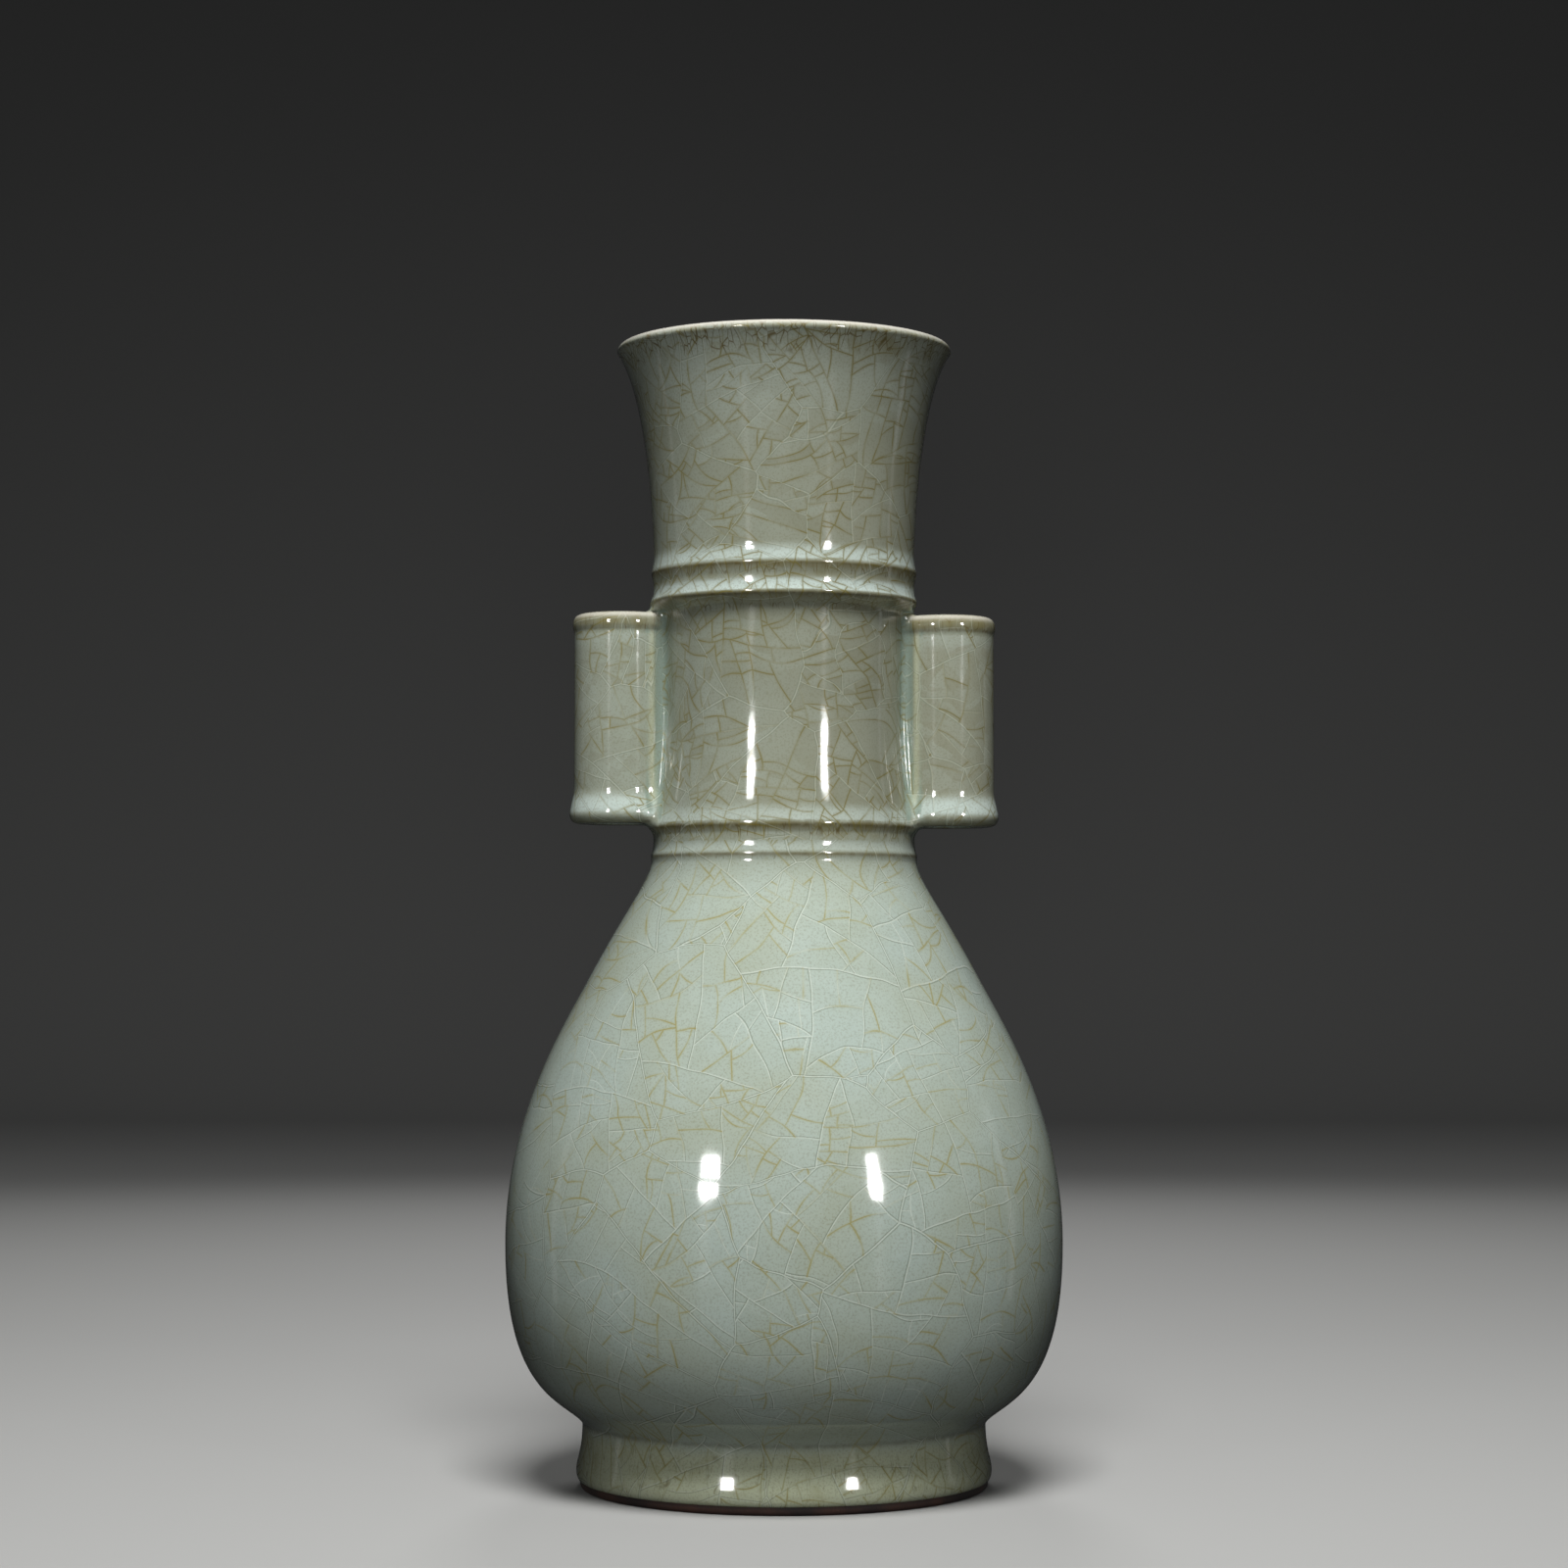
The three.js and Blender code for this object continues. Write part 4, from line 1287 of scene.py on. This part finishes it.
@dataclass
class ThrownSections:
    """The foot, body and mouth: closed rings and bowls, turned on the wheel."""

    form: NeckForm
    glaze: bpy.types.Material
    clay: bpy.types.Material
    facets: int = 192
    rim_set_back: float = 0.35
    rim_rounding: float = 0.7
    touch: float = 0.05

    @property
    def outline(self) -> VaseOutline:
        """The vase's outline."""
        return self.form.outline

    def build(self) -> list[bpy.types.Object]:
        """Builds every thrown section.

        Returns:
            The pieces, from the foot up.
        """
        return [self.foot_rim(), self.foot_ring(), self.lower_body(), self.upper_body(),
                self.mouth()]

    def outer(self, low: float, high: float) -> np.ndarray:
        """Gives the outer outline between two heights as (radius, height), going up."""
        heights = self.outline.levels(low, high)
        return np.column_stack((self.outline.radius(heights), heights))

    def inner(self, low: float, high: float, step: float = 4.0) -> np.ndarray:
        """Gives the inner outline between two heights as (radius, height), going down."""
        heights = np.linspace(high, low, max(int((high - low) / step), 2) + 1)
        return np.column_stack((self.outline.inner_radius(heights), heights))

    def foot_rim(self) -> bpy.types.Object:
        """Turns the bare ring that the vase stands on."""
        shape = self.outline
        outer = shape.foot_edge_radius - self.rim_set_back
        inner = shape.rim_inner_radius
        edge = self.rim_rounding
        loop = np.array([
            (inner + edge, 0.0), (outer - edge * 1.6, 0.0), (outer - edge * 0.7, 0.2),
            (outer - edge * 0.15, 0.7), (outer, 1.3), (outer, shape.glaze_line),
            (inner, shape.glaze_line), (inner, edge), (inner + edge * 0.3, 0.2),
        ])
        piece = Bench.turn("bare_foot_rim", loop, self.facets)
        Bench.smooth(piece)
        return finish_piece(piece, Slot.FOOT, self.clay, ())

    def foot_ring(self) -> bpy.types.Object:
        """Turns the glazed foot ring above the bare rim."""
        shape = self.outline
        inside = np.array([(shape.recess_radius, shape.foot_top), (shape.recess_radius + 0.3, 9.0),
                           (shape.rim_inner_radius - 0.2, 4.5),
                           (shape.rim_inner_radius, shape.glaze_line)])
        loop = np.vstack((self.outer(shape.glaze_line, shape.foot_top), inside))
        piece = Bench.turn("glazed_foot_ring", loop, self.facets)
        return self._dress(piece, Slot.FOOT, ("foot_ring",))

    def lower_body(self) -> bpy.types.Object:
        """Turns the bowl of the body, with its floor."""
        shape = self.outline
        floor = shape.foot_top + shape.floor_thickness
        below = (shape.inner_line[:, 1] < shape.belly) & (shape.inner_line[:, 0] > 1.0)
        bowl = shape.inner_line[below][::5]
        rings = (30.0, 15.0)
        loop = np.vstack((
            [(0.0, shape.foot_top)],
            [(radius, shape.foot_top) for radius in reversed(rings)],
            self.outer(shape.foot_top, shape.belly),
            [(shape.belly_radius - shape.body_wall, shape.belly)],
            bowl[::-1],
            [(radius, floor) for radius in rings],
            [(0.0, floor)],
        ))
        piece = Bench.turn("glazed_lower_body", loop, self.facets)
        return self._dress(piece, Slot.BODY, ("lower_body",))

    def upper_body(self) -> bpy.types.Object:
        """Turns the shoulder, up to the root of the neck."""
        shape = self.outline
        loop = np.vstack((self.outer(shape.belly, shape.neck_joint),
                          self.inner(shape.belly, shape.neck_joint)))
        piece = Bench.turn("glazed_upper_body", loop, self.facets)
        return self._dress(piece, Slot.BODY, ("upper_body",))

    def mouth(self) -> bpy.types.Object:
        """Turns the trumpet mouth with its rounded lip."""
        shape = self.outline
        half = shape.lip_thickness / 2
        angles = np.linspace(0.0, math.pi, 13)[1:-1]
        lip = np.column_stack((shape.lip_radius - half + half * np.cos(angles),
                               shape.lip_level + half * np.sin(angles)))
        loop = np.vstack((self.outer(shape.mouth_root, shape.lip_level), lip,
                          self.inner(shape.mouth_root, shape.lip_level, 3.0)))
        piece = Bench.turn("glazed_mouth", loop, self.facets)
        return self._dress(piece, Slot.NECK, ("mouth_section",))

    def _dress(self, piece: bpy.types.Object, slot: Slot, nodes: Sequence[str]) -> bpy.types.Object:
        """Marks where a turned piece's glaze is thick or thin, hides its joints and finishes it."""
        points = Bench.points_of(piece)
        radius = np.hypot(points[:, 0], points[:, 1])
        outside = np.abs(radius - self.outline.radius(points[:, 2])) < self.touch
        on_lip = points[:, 2] > self.outline.lip_level - 0.01
        Bench.mark(piece, GlazeMap(self.form, points).marks(), outside | on_lip)
        joint = np.isin(np.round(points[:, 2], 3), np.round((
            self.outline.foot_top, self.outline.belly, self.outline.neck_joint,
            self.outline.mouth_root), 3))
        normals = np.zeros_like(points)
        seam = joint & outside
        normals[seam] = self._turned_normals(points[seam], self.outline.slope)
        seam = joint & ~outside & (points[:, 2] > self.outline.belly - 1.0)
        normals[seam] = -self._turned_normals(points[seam], self.outline.inner_slope)
        Bench.smooth(piece, normals)
        return finish_piece(piece, slot, self.glaze, nodes)

    def _turned_normals(self, points: np.ndarray,
                        slope: Callable[[np.ndarray], np.ndarray]) -> np.ndarray:
        """Gives a turned face's true normals, so that no joint shows under the glaze.

        Args:
            points: Points on the face, in mm.
            slope: How fast the face's radius grows with height.

        Returns:
            One vector away from the axis for each point.
        """
        radius = np.hypot(points[:, 0], points[:, 1])
        normals = np.column_stack((points[:, 0] / radius, points[:, 1] / radius,
                                   -slope(points[:, 2])))
        return normals / np.linalg.norm(normals, axis=1)[:, None]


@dataclass
class HandledNeck:
    """The neck's sunk panel, its two pierced handles and their luting clay under one glaze."""

    form: NeckForm
    glaze: bpy.types.Material
    spare: float = 2.5
    voxel: float = 0.74
    facets: int = 128
    rings: int = 90
    glaze_from: float = -0.3
    clear_of_handle: float = 3.0

    def build(self) -> bpy.types.Object:
        """Builds the neck with its handles.

        Returns:
            The piece.
        """
        piece = self._rough()
        for _ in range(2):
            Bench.remesh(piece, self.voxel)
            points, level = self._drawn_to_crests(Bench.points_of(piece))
            Bench.place_points(piece, self.form.settle(points, level))
        self._trim(piece)
        points = Bench.points_of(piece)
        glazed = self.form.skin(points) > self.glaze_from
        Bench.mark(piece, GlazeMap(self.form, points).marks(), glazed)
        normals = self.form.slope_of(self.form.wall, points)
        normals /= np.linalg.norm(normals, axis=1)[:, None]
        Bench.smooth(piece, normals)
        nodes = ("neck_barrel", "left_handle", "left_luting_clay", "right_handle",
                 "right_luting_clay")
        return finish_piece(piece, Slot.NECK, self.glaze, nodes)

    def _drawn_to_crests(self, points: np.ndarray) -> tuple[np.ndarray, np.ndarray]:
        """Draws the points beside each rib's crest onto its height, so that the crest stays crisp.

        Args:
            points: The piece's points, in mm.

        Returns:
            The points, and True for those that lie on a crest.
        """
        drawn = points.copy()
        level = np.zeros(len(points), bool)
        clear = self.form.near_handle(points) > self.clear_of_handle
        for rib in self.form.outline.ribs:
            near = clear & (np.abs(points[:, 2] - rib.crest) < self.voxel / 2)
            drawn[near, 2] = rib.crest
            level |= near
        return drawn, level

    def _rough(self) -> bpy.types.Object:
        """Turns the neck and the two tubes and lays them over each other."""
        outline = self.form.outline
        heights = np.linspace(outline.neck_joint - self.spare, outline.mouth_root + self.spare,
                              self.rings)
        wall = np.vstack((np.column_stack((outline.radius(heights), heights)),
                          np.column_stack((outline.inner_radius(heights), heights))[::-1]))
        parts = [Bench.turn("glazed_neck_and_handles", wall, self.facets)]
        for handle in self.form.handles:
            tube = np.array([(handle.bore, handle.bottom), (handle.flare_radius, handle.bottom),
                             (handle.radius, handle.bottom + handle.height / 5),
                             (handle.radius, handle.top), (handle.bore, handle.top)])
            parts.append(Bench.turn("tube", tube, self.facets, handle.side * handle.axis_offset))
        Bench.clear()
        for part in parts:
            part.select_set(True)
        bpy.context.view_layer.objects.active = parts[0]
        bpy.ops.object.join()
        return parts[0]

    def _trim(self, piece: bpy.types.Object) -> None:
        """Cuts the spare off both ends and closes the wall there."""
        outline = self.form.outline
        for height, upper in ((outline.neck_joint, False), (outline.mouth_root, True)):
            with Bench.editing(piece):
                bpy.ops.mesh.bisect(plane_co=(0.0, 0.0, height * MM), plane_no=(0.0, 0.0, 1.0),
                                    clear_outer=upper, clear_inner=not upper)
            with Bench.editing(piece):
                bpy.ops.mesh.select_all(action="DESELECT")
                bpy.ops.mesh.select_mode(type="EDGE")
                bpy.ops.mesh.select_non_manifold(extend=False, use_boundary=True)
                bpy.ops.mesh.bridge_edge_loops()
                bpy.ops.mesh.select_mode(type="VERT")


@dataclass(frozen=True)
class Lamp:
    """A soft lamp that faces the vase: where it hangs, its size, and whether the glaze mirrors it.

    The azimuth is in degrees to the right of the camera, and the elevation in degrees above the
    vase's middle. The distance, width and height are in metres, the power in watts and the spread
    of its light in degrees.
    """

    name: str
    azimuth: float
    elevation: float
    distance: float
    width: float
    height: float
    power: float
    spread: float = 180.0
    lights: bool = True
    mirrored: bool = True
    aim_height: float = 0.15

    def build(self) -> None:
        """Hangs the lamp."""
        data = bpy.data.lights.new(self.name, "AREA")
        data.shape = "RECTANGLE"
        data.size, data.size_y = self.width, self.height
        data.energy = self.power
        data.spread = math.radians(self.spread)
        lamp = bpy.data.objects.new(self.name, data)
        bpy.context.scene.collection.objects.link(lamp)
        turn, rise = math.radians(self.azimuth), math.radians(self.elevation)
        aim = Vector((0.0, 0.0, self.aim_height))
        lamp.location = aim + self.distance * Vector((
            math.sin(turn) * math.cos(rise), -math.cos(turn) * math.cos(rise), math.sin(rise)))
        lamp.rotation_euler = (aim - lamp.location).to_track_quat("-Z", "Y").to_euler()
        lamp.visible_camera = False
        lamp.visible_diffuse = self.lights
        lamp.visible_glossy = self.mirrored


@dataclass
class Studio:
    """A pale paper sweep, soft lamps and the camera of the photograph."""

    paper: bpy.types.Material
    camera_at: tuple[float, float, float] = (0.0, -0.962, 0.1394)
    pitch: float = 2.7
    lens: float = 83.25
    sensor: float = 36.0
    room: str = "#c6c8ca"
    room_strength: float = 0.03
    # Azimuth, elevation, distance, width, height, power and spread.
    lamps: tuple[Lamp, ...] = (
        Lamp("key", 2.0, 60.0, 1.3, 0.5, 0.55, 8.5, 120.0, mirrored=False),
        Lamp("fill", 0.0, 0.0, 1.2, 0.2, 0.08, 3.0, mirrored=False),
        Lamp("left_upper", -31.0, 17.6, 1.5, 0.15, 0.11, 4.8, lights=False),
        Lamp("left_lower", -31.0, 11.2, 1.5, 0.13, 0.10, 3.9, lights=False),
        Lamp("right", 38.0, 14.2, 1.5, 0.13, 0.28, 10.0, lights=False),
        Lamp("left_glow", -31.0, 1.0, 1.5, 0.12, 0.8, 0.2, lights=False),
        Lamp("right_glow", 38.0, 1.0, 1.5, 0.09, 0.8, 0.14, lights=False),
        Lamp("left_edge", -106.0, 2.0, 1.5, 0.08, 0.9, 0.08, lights=False),
        Lamp("right_edge", 104.0, 2.0, 1.5, 0.1, 0.9, 0.12, lights=False),
        Lamp("back", 180.0, 32.0, 1.5, 0.3, 0.5, 2.2, 120.0, mirrored=False),
    )

    def build(self) -> None:
        """Sets the floor, the lamps and the camera."""
        self._sweep()
        self._world()
        for lamp in self.lamps:
            lamp.build()
        self._camera()
        bpy.context.scene.view_settings.view_transform = "Standard"

    def _sweep(self) -> None:
        """Models the paper: a floor that curves up behind the vase."""
        Bench.clear()
        bpy.ops.mesh.primitive_grid_add(x_subdivisions=2, y_subdivisions=2, size=1.0)
        floor = bpy.context.object
        floor.name = "paper_sweep"
        width, depth, tall, bend, forward = 7.0, 5.2, 3.6, 1.2, 0.7
        with Bench.editing(floor):
            bpy.ops.transform.resize(value=(width, depth, 1.0))
            bpy.ops.transform.translate(value=(0.0, forward, 0.0))
        back = forward + depth / 2
        with Bench.editing(floor):
            bpy.ops.mesh.select_all(action="DESELECT")
            bpy.ops.mesh.select_mode(type="VERT")
            bpy.ops.object.mode_set(mode="OBJECT")
            for vertex in floor.data.vertices:
                vertex.select = vertex.co.y > back - 0.01
            bpy.ops.object.mode_set(mode="EDIT")
            bpy.ops.mesh.select_mode(type="EDGE")
            bpy.ops.mesh.extrude_region_move(TRANSFORM_OT_translate={"value": (0.0, 0.0, tall)})
        Bench.take(floor)
        bevel = floor.modifiers.new("sweep", "BEVEL")
        bevel.width = bend
        bevel.segments = 24
        bevel.limit_method = "ANGLE"
        bpy.ops.object.modifier_apply(modifier=bevel.name)
        bpy.ops.object.shade_smooth()
        floor.data.materials.append(self.paper)
        floor.visible_diffuse = False
        floor.visible_glossy = False
        floor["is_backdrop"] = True

    def _world(self) -> None:
        """Sets a dim, even room light."""
        world = bpy.data.worlds.new("studio_room")
        bpy.context.scene.world = world
        world.use_nodes = True
        background = world.node_tree.nodes["Background"]
        background.inputs["Color"].default_value = linear(self.room)
        background.inputs["Strength"].default_value = self.room_strength

    def _camera(self) -> None:
        """Sets the camera at the photograph's viewing angle."""
        data = bpy.data.cameras.new("camera")
        data.lens = self.lens
        data.sensor_width = self.sensor
        camera = bpy.data.objects.new("camera", data)
        camera.location = self.camera_at
        camera.rotation_euler = (math.radians(90 + self.pitch), 0.0, 0.0)
        bpy.context.scene.collection.objects.link(camera)
        bpy.context.scene.camera = camera


def write_sizes() -> None:
    """Puts the solids' box and the dressed vase's box into plain lists of numbers."""
    boxes = {"cad": CAD_BOX, "visual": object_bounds()}
    plain = {name: [[float(value) for value in corner] for corner in box]
             for name, box in boxes.items()}


def main() -> None:
    """Builds the vase and its studio."""
    logging.basicConfig(level=logging.INFO, format="%(name)s: %(message)s")
    outline = VaseOutline()
    left = HandleForm(side=-1, bottom=outline.neck_root + 3.6, clay_reach=4.2)
    right = HandleForm(side=1, bottom=outline.neck_root + 2.7, clay_reach=3.6)
    form = NeckForm(outline, (left, right))
    glaze = CrackledCeladon((left, right)).build()
    ThrownSections(form, glaze, BareStoneware().build()).build()
    HandledNeck(form, glaze).build()
    Studio(StudioPaper().build()).build()
    write_sizes()


if __name__ == "__main__":
    main()
